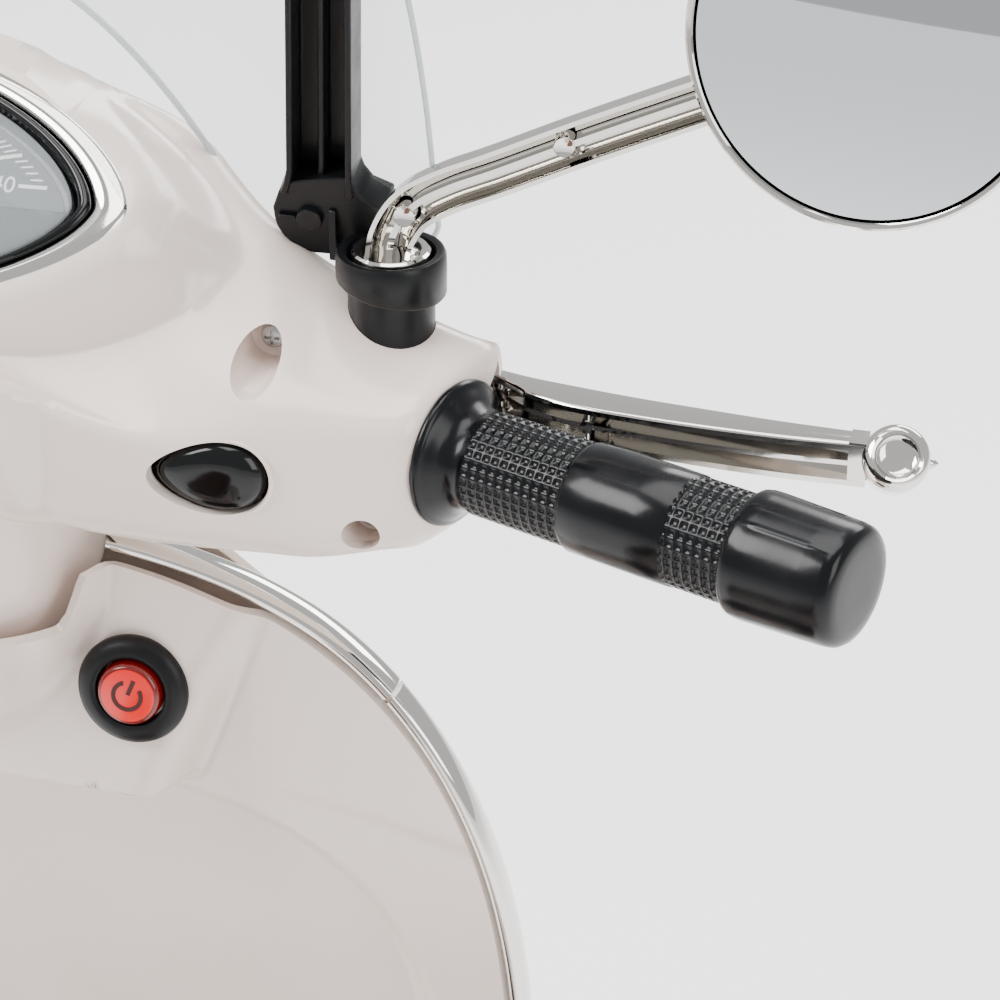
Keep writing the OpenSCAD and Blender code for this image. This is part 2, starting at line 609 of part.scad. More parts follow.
// ---- windscreen and its brackets ----
function screen_y(x, z) = 221 - 0.3 * (z - 690) - 0.0009 * x * x;
function screen_lo(x) = abs(x) < 88 ? 687 + 78 * pow(1 - pow(abs(x) / 88, 2.6), 0.95)
  : 687 + 14 * (1 - sqrt(max(1 - pow(max(abs(x) - 127, 0) / 14.2, 2), 0)));
function screen_hi(x) = 700 + 180 * pow(max(1 - pow(abs(x) / 141, 3), 0.00001), 1 / 3);
function screen_grid() = [for (a = [-88 : 8 : 88]) let(x = 140.6 * sin(a))
  [for (k = [0 : 12]) let(z = mix(screen_lo(x), screen_hi(x), k / 12))
    [x, screen_y(x, z), z]]];
module windscreen() {
  color([0.85, 0.9, 0.95, 0.25]) panel(screen_grid(), -2);
}
// slot that the sheet sits in, a little wider than the sheet
module windscreen_room() {
  translate([0, 0.35, 0]) panel(screen_grid(), -2.8);
}
// what a bracket takes up, with 0.3 mm round it
module bracket_room() {
  translate([113, screen_y(113, 745) - 8.2, 745]) rotate([16.7, 8, 0])
    translate([-8.8, -6.3, -48.3]) cube([17.6, 11.6, 110.6]);
  translate([106.5, 201, 691.2]) cylinder(r = 9.3, h = 9.6, $fn = 40);
  translate([105.7, 191.7, 691.2]) cube([12.6, 8.6, 6.6]);
  translate([113.7, 189.7, 679.1]) cube([10.6, 8.6, 18.6]);
  translate([132, 186, 678.5]) cylinder(r = 13.7, h = 4.2, $fn = 48);
}
module bracket() {
  difference() {
    union() {
      translate([113, screen_y(113, 745) - 8.2, 745]) rotate([16.7, 8, 0]) difference() {
        translate([-8.5, -6, -48]) cube([17, 11, 110]);
        translate([-6, -9, -42]) cube([12, 12, 98]);
      }
      translate([106.5, 201, 691.5]) cylinder(r = 9, h = 9, $fn = 40);
      translate([106, 192, 691.5]) cube([12, 8, 6]);
      translate([114, 190, 679.4]) cube([10, 8, 18]);
      translate([132, 186, 679.4]) cylinder(r = 13.4, h = 3, $fn = 48);
    }
    translate([132, 186, 670]) cylinder(r = 9.1, h = 40, $fn = 48);
    translate([132, 186, 682.6]) cylinder(r = 14, h = 40, $fn = 48);
    translate([96, 206.4, 692.9]) cube([20, 6, 10]);
    windscreen_room();
  }
}
module screen_brackets() {
  color(black) for (m = [0, 1]) mirror([m, 0, 0]) bracket();
}
module mirror_sockets() {
  color(black) for (m = [-1, 1]) translate([m * 132, 186, 667]) difference() {
    union() {
      cylinder(r = 9, h = 18, $fn = 40);
      translate([0, 0, 16.4]) cylinder(r = 13.6, h = 12.6, $fn = 48);
    }
    translate([0, 0, 20]) cylinder(r = 10.4, h = 12, $fn = 48);
    translate([0, 0, -1]) cylinder(r = 4.08, h = 30, $fn = 40);
  }
}
// ---- mirrors ----
mirror_c = [249, 186, mirror_z];
mirror_path = [[132, 186, 697], [133.5, 186.5, 702], [138, 187.5, 708.5], [146, 189, 713.3],
  [158, 190.5, 718.3], [180, 193, 728.2], [202, 195, 737.6], [222, 197, 746], [236, 196.5, 753]];
function arm_ring(i) = let(n = len(mirror_path), t = unit(mirror_path[min(i + 1, n - 1)]
  - mirror_path[max(i - 1, 0)]), u = unit(cross(t, [0, 1, 0])), v = cross(u, t))
  [for (k = [0 : 11]) mirror_path[i] + u * 5.1 * cos(k * 30) + v * 4.6 * sin(k * 30)];
module arm() {
  color(chrome) {
    skin([for (i = [0 : len(mirror_path) - 1]) arm_ring(i)]);
    translate([132, 186, 670]) cylinder(r = 4, h = 24, $fn = 40);
    translate([132, 186, 687.4]) cylinder(r = 10, h = 12, $fn = 48);
    translate(mirror_c) rotate([98, 0, 8]) difference() {
      translate([0, 0, -13]) rotate_extrude($fn = 80) polygon([[0, 0], [20, 1.2], [34, 4.4],
        [mirror_r - 1, 11], [mirror_r, 14], [mirror_r - 0.6, 17], [mirror_r - 2.6, 17],
        [mirror_r - 3, 12], [32, 7.4], [18, 4.2], [0, 3]]);
    }
  }
}
module glass() {
  color([0.7, 0.74, 0.78]) translate(mirror_c) rotate([98, 0, 8])
    translate([0, 0, 0.6]) cylinder(r = mirror_r - 3.2, h = 2.2, $fn = 80);
}
module mirror_arm_right() {
  arm();
}
module mirror_arm_left() {
  mirror([1, 0, 0]) arm();
}
module mirror_glass_right() {
  glass();
}
module mirror_glass_left() {
  mirror([1, 0, 0]) glass();
}
// ---- brake levers, pivoting in the mouth of the housing ----
lever_pivot = [142.5, 203, 655];
module lever() {
  color(chrome) {
    difference() {
      union() {
        translate(lever_pivot - [0, 0, 5.6]) cylinder(r = 6.8, h = 11.2, $fn = 40);
        translate([0, 0, lever_pivot[2] - 5.6]) linear_extrude(11.2) polygon([[143, 209],
          [149, 206], [155, 200], [173, 194.5], [192, 191], [211, 188.4], [231, 186],
          [256, 184], [256, 177], [233, 177], [213, 178], [195, 179.8], [176, 183],
          [168, 186], [162, 190.5], [157, 195.2], [148, 196.6], [143, 196.3]]);
        translate([260.5, 179.5, lever_pivot[2] - 7.4]) cylinder(r = 8.4, h = 15, $fn = 48);
      }
      translate(lever_pivot - [0, 0, 10]) cylinder(r = 2.58, h = 20, $fn = 32);
      for (z = [-4.4, 0.6]) translate([0, 0, lever_pivot[2] + z]) linear_extrude(3.8)
        polygon([[170, 176], [170, 192.4], [192, 188.4], [211, 185.8], [231, 183.4],
          [248, 182], [248, 170], [200, 172]]);
    }
  }
}
module brake_lever_right() {
  lever();
}
module brake_lever_left() {
  mirror([1, 0, 0]) lever();
}
function egg(k) = [for (a = [0 : 10 : 350])
  [14.4 * k * cos(a), 9.4 * k * sin(a) * (1 + 0.22 * cos(a))]];
module horn_button() {
  color(black) translate([95.8, 151, 650]) rotate([90, 0, 0]) linear_extrude(8.6) polygon(egg(1));
}
module music_button() {
  mirror([1, 0, 0]) horn_button();
}
// ---- fork, mudguard ----
module fork() {
  color(steel) {
    for (x = [-52, 52]) {
      difference() {
        union() {
          rod([x, 343, 262], [x, front_y, axle_z], 10);
          translate([x - 4, front_y - 14, axle_z - 14]) cube([8, 28, 28]);
        }
        across(x - 18, front_y, axle_z) cylinder(r = 6, h = 36, $fn = 32);
      }
    }
    difference() {
      on_column(-432) translate([-62, -17, 0]) cube([124, 34, 14]);
      on_column(-430) cylinder(r = 14.02, h = 20, $fn = 48);
    }
    on_column(-439) cylinder(r = 9, h = 8, $fn = 32);
  }
}
module front_axle() {
  color(steel) {
    across(-66, front_y, axle_z) cylinder(r = 5.95, h = 132, $fn = 32);
    for (x = [-71, 62.5]) across(x, front_y, axle_z) cylinder(r = 10, h = 8, $fn = 6);
  }
}
module front_mudguard() {
  color(ivory) panel([for (i = [0 : 20]) let(a = 29 + i * 112 / 20) [for (j = [0 : 12])
    let(b = -90 + j * 15, x = 39 * bow(sin(b), 3.4), r = 112 + 24 * bow(cos(b), 3.4))
      [x, front_y + r * cos(a), axle_z + r * sin(a)]]], 2.4);
}

// ---- what is drawn ----
frame();
steering_bushes();
floor_tray();
floor_mat();
leg_shield_inner();
leg_shield_front();
trim_upper();
trim_lower();
tail_body();
cowl_right();
cowl_left();
tail_lamp();
plate_holder();
battery();
gearbox_case();
motor();
rear_axle();
stabiliser_brackets();
seat_hinge_pin();
pedal_housing();
switch_bezel();
steering_stem();
handlebar_tube();
headset_rear();
headset_front();
neck_cover();
headset_screws();
speedo_surround();
speedo_case();
speedo_lens();
headlamp_rim();
headlamp_lens();
windscreen();
screen_brackets();
mirror_sockets();
grip_right();
grip_left();
fork();
front_mudguard();
front_axle();
front_tyre();
front_rim();
rear_tyre();
rear_rim();
drive_gear();
stabiliser_wheel_right();
stabiliser_wheel_left();
brake_lever_right();
brake_lever_left();
mirror_arm_right();
mirror_glass_right();
mirror_arm_left();
mirror_glass_left();
horn_button();
music_button();
power_button();
seat_base();
seat_cushion();
pedal();
motor_pinion();
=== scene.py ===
import json
import math

import bmesh
import bpy
import numpy as np
from mathutils import Matrix, Vector


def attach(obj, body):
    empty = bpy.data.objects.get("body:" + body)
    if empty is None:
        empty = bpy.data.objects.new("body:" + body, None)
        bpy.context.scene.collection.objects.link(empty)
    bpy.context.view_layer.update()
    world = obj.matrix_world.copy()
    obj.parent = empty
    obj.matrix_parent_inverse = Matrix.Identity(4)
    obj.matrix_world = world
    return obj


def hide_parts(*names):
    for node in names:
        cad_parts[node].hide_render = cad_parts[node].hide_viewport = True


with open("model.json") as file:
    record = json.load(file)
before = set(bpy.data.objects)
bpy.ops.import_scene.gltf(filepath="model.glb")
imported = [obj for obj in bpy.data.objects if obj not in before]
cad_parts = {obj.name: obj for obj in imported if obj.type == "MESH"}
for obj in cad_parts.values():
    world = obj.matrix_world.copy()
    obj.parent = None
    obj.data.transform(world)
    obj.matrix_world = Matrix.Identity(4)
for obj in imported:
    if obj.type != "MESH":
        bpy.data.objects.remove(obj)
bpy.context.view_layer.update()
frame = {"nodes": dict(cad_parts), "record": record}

# child's battery ride-on moped scooter: new surfaces are worked out in millimetres
# and written in metres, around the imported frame
mm = 0.001
rng = np.random.default_rng(7)


def hexColour(text, alpha=1.0):  # sRGB hex to linear
    parts = [int(text[k:k + 2], 16) / 255 for k in (1, 3, 5)]
    lin = [p / 12.92 if p <= 0.04045 else ((p + 0.055) / 1.055) ** 2.4 for p in parts]
    return (lin[0], lin[1], lin[2], alpha)


def addNode(tree, kind, values=None, **settings):  # a node with its settings, inputs and links
    node = tree.nodes.new(kind)
    for key, value in settings.items():
        setattr(node, key, value)
    for key, value in (values or {}).items():
        if isinstance(value, bpy.types.NodeSocket):
            tree.links.new(value, node.inputs[key])
        else:
            node.inputs[key].default_value = value
    return node


def newMaterial(name, colour, rough, metal=0.0, ior=1.5, **extra):
    mat = bpy.data.materials.new(name)
    mat.use_nodes = True
    shader = mat.node_tree.nodes["Principled BSDF"]
    shader.inputs["Base Color"].default_value = hexColour(colour)
    shader.inputs["Roughness"].default_value = rough
    shader.inputs["Metallic"].default_value = metal
    shader.inputs["IOR"].default_value = ior
    for key, value in extra.items():
        shader.inputs[key.replace("_", " ")].default_value = value
    return mat


# bump from noise of a given grain in millimetres
def addGrain(mat, grain, depth, strength=1.0, detail=2.0, kind="ShaderNodeTexNoise"):
    tree = mat.node_tree
    shader = tree.nodes["Principled BSDF"]
    coord = addNode(tree, "ShaderNodeTexCoord")
    values = {"Vector": coord.outputs["Object"], "Scale": 1000.0 / grain}
    if kind == "ShaderNodeTexNoise":
        values["Detail"] = detail
    tex = addNode(tree, kind, values)
    height = tex.outputs["Distance"] if kind == "ShaderNodeTexVoronoi" else tex.outputs["Fac"]
    bump = addNode(tree, "ShaderNodeBump",
                   {"Height": height, "Distance": depth * mm, "Strength": strength})
    tree.links.new(bump.outputs["Normal"], shader.inputs["Normal"])
    return mat


# faint unevenness of colour and gloss, as moulded or handled surfaces have
def addMottle(mat, dark, light, patch, roughLow, roughHigh):
    tree = mat.node_tree
    shader = tree.nodes["Principled BSDF"]
    coord = addNode(tree, "ShaderNodeTexCoord")
    noise = addNode(tree, "ShaderNodeTexNoise",
                    {"Vector": coord.outputs["Object"], "Scale": 1000.0 / patch, "Detail": 3.0})
    ramp = addNode(tree, "ShaderNodeValToRGB", {"Fac": noise.outputs["Fac"]})
    ramp.color_ramp.elements[0].position = 0.3
    ramp.color_ramp.elements[0].color = hexColour(dark)
    ramp.color_ramp.elements[1].position = 0.7
    ramp.color_ramp.elements[1].color = hexColour(light)
    tree.links.new(ramp.outputs["Color"], shader.inputs["Base Color"])
    span = addNode(tree, "ShaderNodeMapRange",
                   {"Value": noise.outputs["Fac"], "From Min": 0.3, "From Max": 0.7,
                    "To Min": roughLow, "To Max": roughHigh})
    tree.links.new(span.outputs["Result"], shader.inputs["Roughness"])
    return mat


print("materials")
# injection-moulded ABS, warm ivory: glossy skin with a very faint orange peel
ivoryAbs = addGrain(addMottle(newMaterial("ivoryMouldedAbs", "#E6D7CD", 0.2, ior=1.53,
                                          Coat_Weight=0.25, Coat_Roughness=0.08),
                              "#E4D4CA", "#E8D9D0", 60, 0.17, 0.24), 5.0, 0.012, 0.5)
# chrome-plated ABS: bright, slightly warm metal with the waviness of the moulding under it
platedAbs = addGrain(newMaterial("chromePlatedAbs", "#DAD7D2", 0.07, 1.0), 14.0, 0.05, 0.35)
# black ABS with a fine spark-eroded texture: satin, no mirror reflections
blackAbs = addGrain(addMottle(newMaterial("satinBlackAbs", "#0C0D0F", 0.36, ior=1.53,
                                          Specular_IOR_Level=0.22),
                              "#0A0B0D", "#0E0F12", 9, 0.32, 0.42), 0.8, 0.03, 0.5)
# polished black ABS: deep colour and a sharp highlight
glossBlack = addGrain(newMaterial("polishedBlackAbs", "#050607", 0.1, ior=1.53,
                                  Specular_IOR_Level=0.3), 12.0, 0.02, 0.3)
# dipped soft PVC: dark, wet-looking highlights, softly uneven
softPvc = addGrain(addMottle(newMaterial("softPvcGrip", "#050608", 0.2, ior=1.52, Specular_IOR_Level=0.22,
                                         Coat_Weight=0.04, Coat_Roughness=0.1),
                             "#040507", "#07080B", 14, 0.16, 0.27), 3.0, 0.03, 0.4)
# vacuum-metallised mirror film behind acrylic
mirrorFilm = newMaterial("metallisedMirror", "#C9CCCE", 0.015, 1.0)
# clear cast acrylic: almost invisible face on, with a faint cool tint
clearAcrylic = newMaterial("clearCastAcrylic", "#E9F1F3", 0.02, ior=1.49, Alpha=0.13)
# the polished edge of the sheet gathers light and looks grey
acrylicEdge = newMaterial("acrylicSheetEdge", "#B9C3C6", 0.12, ior=1.49, Alpha=0.62)
# translucent red polycarbonate with a faint painted glow standing in for light coming through it; no lamp is
# modelled behind it
switchRedPaintedGlow = newMaterial("redSwitchLens", "#D3150F", 0.22, ior=1.58,
                        Emission_Color=hexColour("#D01008"), Emission_Strength=0.28)
switchRim = newMaterial("redSwitchSkirt", "#7E0F0C", 0.12, ior=1.58, Transmission_Weight=0.35)
symbolInk = newMaterial("darkPadPrint", "#3A0806", 0.4)
# red acrylic tail lens
redLens = addGrain(newMaterial("redAcrylicLens", "#9E0B0A", 0.1, ior=1.49,
                               Transmission_Weight=0.25), 2.2, 0.12, 0.5,
                   kind="ShaderNodeTexVoronoi")
# powder-coated steel: black with a fine pebble
powderCoat = addGrain(newMaterial("blackPowderCoat", "#0F1011", 0.4, 0.0, 1.5), 0.9, 0.05, 0.5)
# zinc plate: pale grey metal with a soft, cloudy grain
zincPlate = addGrain(addMottle(newMaterial("zincPlatedSteel", "#B9BCBE", 0.32, 1.0),
                               "#A9ACAE", "#C6C8C9", 6, 0.25, 0.42), 1.2, 0.01, 0.4)
# EVA and rubber tread: matt black, dusty in patches
tyreRubber = addGrain(addMottle(newMaterial("mouldedTyreRubber", "#1B1B1C", 0.7),
                                "#171718", "#242424", 18, 0.6, 0.82), 0.7, 0.08, 0.6)
# silver-painted polypropylene wheel
rimPaint = addGrain(newMaterial("silverPaintedWheel", "#B6B8BB", 0.3, 0.65), 0.5, 0.01, 0.4)
naturalNylon = addGrain(newMaterial("naturalNylon", "#DDDACD", 0.45, ior=1.53,
                                    Subsurface_Weight=0.15), 4.0, 0.02, 0.4)
# embossed upholstery vinyl, saddle brown
seatVinyl = addGrain(addMottle(newMaterial("saddleBrownVinyl", "#5A3522", 0.42, ior=1.5,
                                           Sheen_Weight=0.08),
                               "#543020", "#623B27", 25, 0.36, 0.5), 1.6, 0.12, 0.55,
                     kind="ShaderNodeTexVoronoi")
pipingVinyl = newMaterial("creamVinylPiping", "#D9CDBD", 0.4)
matRubber = addGrain(newMaterial("ribbedMatRubber", "#17181A", 0.62), 0.9, 0.07, 0.6)
batteryAbs = addGrain(newMaterial("greyBatteryCase", "#3A3D42", 0.5), 1.0, 0.03, 0.5)
dialFace = newMaterial("printedDialFace", "#24282D", 0.45)
dialInk = newMaterial("whiteDialInk", "#EDEEEC", 0.5)
headlampGlass = newMaterial("flutedLampLens", "#DFE5E8", 0.08, 0.35, 1.49)

slotLooks = {"ivory_abs": ivoryAbs, "black_abs": blackAbs, "gloss_black": glossBlack,
             "grip_pvc": softPvc, "chrome_plastic": platedAbs, "mirror_film": mirrorFilm,
             "clear_acrylic": clearAcrylic, "red_lens": redLens, "switch_red": switchRedPaintedGlow,
             "dial": blackAbs, "steel": powderCoat, "zinc": zincPlate, "tyre": tyreRubber,
             "rim": rimPaint, "nylon": naturalNylon, "seat_vinyl": seatVinyl,
             "mat_rubber": matRubber, "battery_case": batteryAbs, "motor_can": zincPlate}
slotOfNode = {part["node"]: part["material_slot"] for part in frame["record"]["subparts"]}
for nodeName, cadPiece in frame["nodes"].items():
    look = slotLooks[slotOfNode[nodeName]]
    if len(cadPiece.material_slots) == 0:
        cadPiece.data.materials.append(look)
    for slot in cadPiece.material_slots:
        slot.link = "OBJECT"
        slot.material = look


# ---- making pieces ----
def makePiece(name, verts, faces, look, body, slot, replaces=(), sharp=38, recalc=True,
              bevel=0.0):
    mesh = bpy.data.meshes.new(name)
    mesh.from_pydata((np.asarray(verts) * mm).tolist(), [], [list(map(int, f)) for f in faces])
    mesh.validate()
    if recalc:
        bm = bmesh.new()
        bm.from_mesh(mesh)
        bmesh.ops.remove_doubles(bm, verts=bm.verts, dist=1e-6)
        bmesh.ops.recalc_face_normals(bm, faces=bm.faces)
        bm.to_mesh(mesh)
        bm.free()
    mesh.shade_smooth()
    mesh.set_sharp_from_angle(angle=math.radians(sharp))
    piece = bpy.data.objects.new(name, mesh)
    bpy.context.scene.collection.objects.link(piece)
    mesh.materials.append(look)
    if bevel:
        mod = piece.modifiers.new("softEdge", "BEVEL")
        mod.width = bevel * mm
        mod.segments = 2
        mod.limit_method = "ANGLE"
        mod.angle_limit = math.radians(50)
    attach(piece, body)
    if replaces:
        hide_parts(*replaces)
    return piece


def gridQuads(nU, nV, wrapV=False, start=0, flip=False):  # quads of a grid, row by row
    i, j = np.meshgrid(np.arange(nU - 1), np.arange(nV if wrapV else nV - 1), indexing="ij")
    k = (j + 1) % nV
    quads = np.stack([i * nV + j, (i + 1) * nV + j, (i + 1) * nV + k, i * nV + k], -1)
    quads = quads.reshape(-1, 4) + start
    return quads[:, ::-1] if flip else quads


def wallFrom(grid, wall):  # a grid and its copy one wall thickness along the normal, joined
    du = np.gradient(grid, axis=0)
    dv = np.gradient(grid, axis=1)
    normal = np.cross(du, dv)
    normal /= np.maximum(np.linalg.norm(normal, axis=-1, keepdims=True), 1e-9)
    inner = grid - wall * normal
    nU, nV = grid.shape[:2]
    count = nU * nV
    verts = np.concatenate([grid.reshape(-1, 3), inner.reshape(-1, 3)])
    loop = np.concatenate([np.arange(nV), np.arange(1, nU) * nV + nV - 1,
                           (nU - 1) * nV + np.arange(nV - 2, -1, -1),
                           np.arange(nU - 2, 0, -1) * nV])
    nxt = np.roll(loop, -1)
    rim = np.stack([loop, nxt, nxt + count, loop + count], -1)
    faces = np.concatenate([gridQuads(nU, nV), gridQuads(nU, nV, start=count, flip=True), rim])
    return verts, faces


def tubeFrom(rings, capped=True):  # rings of points joined into a skin with fan caps
    nU, nV = rings.shape[:2]
    verts = rings.reshape(-1, 3)
    faces = gridQuads(nU, nV, wrapV=True).tolist()
    if capped:
        verts = np.concatenate([verts, rings[0].mean(0)[None], rings[-1].mean(0)[None]])
        a, b = nU * nV, nU * nV + 1
        for j in range(nV):
            k = (j + 1) % nV
            faces.append([a, k, j])
            faces.append([b, (nU - 1) * nV + j, (nU - 1) * nV + k])
    return verts, faces


def frameAlong(path, up):  # unit tangent, side and top of a path of points
    tang = np.gradient(path, axis=0)
    tang /= np.linalg.norm(tang, axis=1, keepdims=True)
    side = np.cross(tang, up)
    side /= np.linalg.norm(side, axis=1, keepdims=True)
    return tang, side, np.cross(side, tang)


def sweepRings(path, profile, up=(0, 0, 1), scale=None):  # a closed profile carried along a path
    _, side, top = frameAlong(path, np.array(up, float))
    s = np.ones(len(path)) if scale is None else scale
    p = profile[None] * s[:, None, None]
    return path[:, None] + side[:, None] * p[..., :1] + top[:, None] * p[..., 1:2]


def spun(profile, origin, axis, count=96, ripple=None):  # (along, radius) profile turned round an axis
    axis = np.array(axis, float) / np.linalg.norm(axis)
    ref = np.array([0, 0, 1.0]) if abs(axis[2]) < 0.9 else np.array([0, 1.0, 0])
    one = np.cross(axis, ref)
    one /= np.linalg.norm(one)
    two = np.cross(axis, one)
    turn = np.linspace(0, 2 * np.pi, count, endpoint=False)
    along, radius = profile[:, 0][:, None], profile[:, 1][:, None]
    if ripple is not None:
        radius = radius + ripple(along, turn[None])
    ring = np.cos(turn)[:, None] * one + np.sin(turn)[:, None] * two
    return np.array(origin, float) + along[..., None] * axis + radius[..., None] * ring[None]


def smoothLine(points, count):  # Catmull-Rom curve through a few points
    p = np.array(points, float)
    p = np.concatenate([[2 * p[0] - p[1]], p, [2 * p[-1] - p[-2]]])
    t = np.linspace(0, len(p) - 3 - 1e-9, count)
    k = t.astype(int)
    f = (t - k)[:, None]
    a, b, c, d = p[k], p[k + 1], p[k + 2], p[k + 3]
    return 0.5 * (2 * b + (c - a) * f + (2 * a - 5 * b + 4 * c - d) * f ** 2
                  + (3 * b - a - 3 * c + d) * f ** 3)


def bow(t, n):
    return np.sign(t) * np.abs(t) ** (2 / n)


def ease(t):
    c = np.clip(t, 0, 1)
    return c * c * (3 - 2 * c)


def bumpOf(x, width, power):  # 1 in the middle, falling to 0 past width
    return np.exp(-np.abs(x / width) ** power)


def filletLine(corners, radius, steps=5):  # a poly-line with each inner corner rounded
    out = [np.array(corners[0], float)]
    for a, b, c, r in zip(corners[:-2], corners[1:-1], corners[2:], radius):
        a, b, c = (np.array(v, float) for v in (a, b, c))
        u, v = (a - b) / np.linalg.norm(a - b), (c - b) / np.linalg.norm(c - b)
        r = min(r, np.linalg.norm(a - b) * 0.48, np.linalg.norm(c - b) * 0.48)
        for t in np.linspace(0, 1, steps):
            out.append((1 - t) ** 2 * (b + u * r) + 2 * t * (1 - t) * b + t * t * (b + v * r))
    out.append(np.array(corners[-1], float))
    return np.array(out)


def joinShapes(shapes):
    verts, faces, start = [], [], 0
    for v, f in shapes:
        verts.append(np.asarray(v))
        faces += [[int(i) + start for i in face] for face in f]
        start += len(v)
    return np.concatenate(verts), faces


def mirrorX(verts):
    out = np.array(verts, float)
    out[:, 0] *= -1
    return out


def cutOut(piece, cutters, how="DIFFERENCE"):  # cuts a piece with closed meshes, then drops them
    for verts, faces in cutters:
        mesh = bpy.data.meshes.new("cutter")
        mesh.from_pydata((np.asarray(verts) * mm).tolist(), [], [list(map(int, f)) for f in faces])
        bm = bmesh.new()
        bm.from_mesh(mesh)
        bmesh.ops.recalc_face_normals(bm, faces=bm.faces)
        bm.to_mesh(mesh)
        bm.free()
        tool = bpy.data.objects.new("cutter", mesh)
        bpy.context.scene.collection.objects.link(tool)
        mod = piece.modifiers.new("cut", "BOOLEAN")
        mod.operation = how
        mod.solver = "EXACT"
        mod.object = tool
        shape = bpy.data.meshes.new_from_object(
            piece.evaluated_get(bpy.context.evaluated_depsgraph_get()))
        piece.modifiers.remove(mod)
        old = piece.data
        shape.name = old.name + "Cut"
        piece.data = shape
        bpy.data.meshes.remove(old)
        bpy.data.objects.remove(tool)
        bpy.data.meshes.remove(mesh)
    piece.data.shade_smooth()
    piece.data.set_sharp_from_angle(angle=math.radians(38))
    return piece


# ---- camera, lights, floor ----
print("camera and lights")
view = {"eye": (336.4, -578.8, 1063.7), "turn": 13.0, "tilt": 29.0, "lens": 126.0}


def setCamera():
    cam = bpy.data.cameras.new("viewCamera")
    cam.lens = view["lens"]
    cam.sensor_width = 36.0
    cam.clip_end = 50.0
    obj = bpy.data.objects.new("viewCamera", cam)
    bpy.context.scene.collection.objects.link(obj)
    turn, tilt = math.radians(view["turn"]), math.radians(view["tilt"])
    look = Vector((-math.sin(turn) * math.cos(tilt), math.cos(turn) * math.cos(tilt),
                   -math.sin(tilt)))
    obj.rotation_euler = look.to_track_quat("-Z", "Y").to_euler()
    obj.location = Vector(view["eye"]) * mm
    bpy.context.scene.camera = obj


def addSoftbox(name, place, aim, size, power, tint="#FFFFFF"):
    lamp = bpy.data.lights.new(name, "AREA")
    lamp.shape = "RECTANGLE"
    lamp.size, lamp.size_y = size
    lamp.energy = power
    lamp.color = hexColour(tint)[:3]
    obj = bpy.data.objects.new(name, lamp)
    bpy.context.scene.collection.objects.link(obj)
    obj.location = place
    obj.rotation_euler = (Vector(aim) - Vector(place)).to_track_quat("-Z", "Y").to_euler()


setCamera()
aimPoint = (0.15, 0.15, 0.62)
addSoftbox("keySoftbox", (-1.5, -0.7, 2.3), aimPoint, (1.4, 1.1), 74)
addSoftbox("fillSoftbox", (1.9, -0.9, 1.5), aimPoint, (1.0, 1.4), 20)
addSoftbox("rimSoftbox", (0.9, 2.3, 1.9), aimPoint, (1.8, 0.8), 46)
addSoftbox("topSoftbox", (0.1, 0.2, 2.8), aimPoint, (1.6, 1.6), 52)

world = bpy.data.worlds.new("paleStudio")
world.use_nodes = True
world.node_tree.nodes["Background"].inputs["Color"].default_value = hexColour("#F4F5F6")
world.node_tree.nodes["Background"].inputs["Strength"].default_value = 0.82
bpy.context.scene.world = world

floorLook = newMaterial("paleStudioFloor", "#FAFAFA", 0.9, Emission_Color=hexColour("#FFFFFF"),
                        Emission_Strength=0.8)
floorMesh = bpy.data.meshes.new("studioFloor")
floorMesh.from_pydata([(-9, -9, 0), (9, -9, 0), (9, 9, 0), (-9, 9, 0)], [], [(0, 1, 2, 3)])
floorMesh.materials.append(floorLook)
studioFloor = bpy.data.objects.new("studioFloor", floorMesh)
bpy.context.scene.collection.objects.link(studioFloor)

# ---- the raked steering column ----
column = {"rake": math.radians(21), "y": 185.0, "z": 650.0}
columnUp = np.array([0, -math.sin(column["rake"]), math.cos(column["rake"])])


def onColumn(s):
    return np.array([0, column["y"], column["z"]]) + s * columnUp


# ---- headset housing: section at sideways place x, point at angle a, shrunk by s ----
housing = {"wall": 2.6, "sweep": math.radians(22.5)}


def hsPoint(x, a, s):
    ax = np.abs(x)
    back = 138 + 17 * (ax / 150) ** 2
    front = 192 + 66 * bumpOf(x, 66, 3) + 16 * bumpOf(x, 118, 6)
    low = 625 + 1.5 * bumpOf(x, 60, 2) + 4.5 * ease((ax - 118) / 34)
    high = 667 + 17 * bumpOf(x, 125, 6) + 45 * bumpOf(x, 58, 2.6)
    rise = 0.16 + 0.3 * bumpOf(x, 135, 8) + 0.34 * bumpOf(x, 98, 8)
    yc, zc = (back + front) / 2, (low + high) / 2
    n = 4.2 - 1.2 * ease((60 - ax) / 60) + 1.3 * ease((ax - 105) / 35)
    y = yc + (front - back) / 2 * s * bow(np.cos(a), n)
    zr = bow(np.sin(a), n) * s
    lean = rise * (np.minimum(y, 212) - yc) - 0.9 * np.maximum(y - 212, 0) * bumpOf(x, 66, 3)
    steep = 1 + 0.3 * bumpOf(x, 85, 6)
    # squarish cover over the column, standing a little proud of the rear face
    y = y - 4.5 * bumpOf(x, 50, 16) * bumpOf(np.maximum(zr, 0), 0.34, 7) * (np.cos(a) < 0)
    xx = x + np.sign(x) * (y - 172) * math.tan(housing["sweep"]) * ease((ax - 90) / 60)
    return np.stack(np.broadcast_arrays(xx, y, zc + (high - low) / 2 * zr
                                        + lean * np.maximum(zr, 0) ** steep), -1)


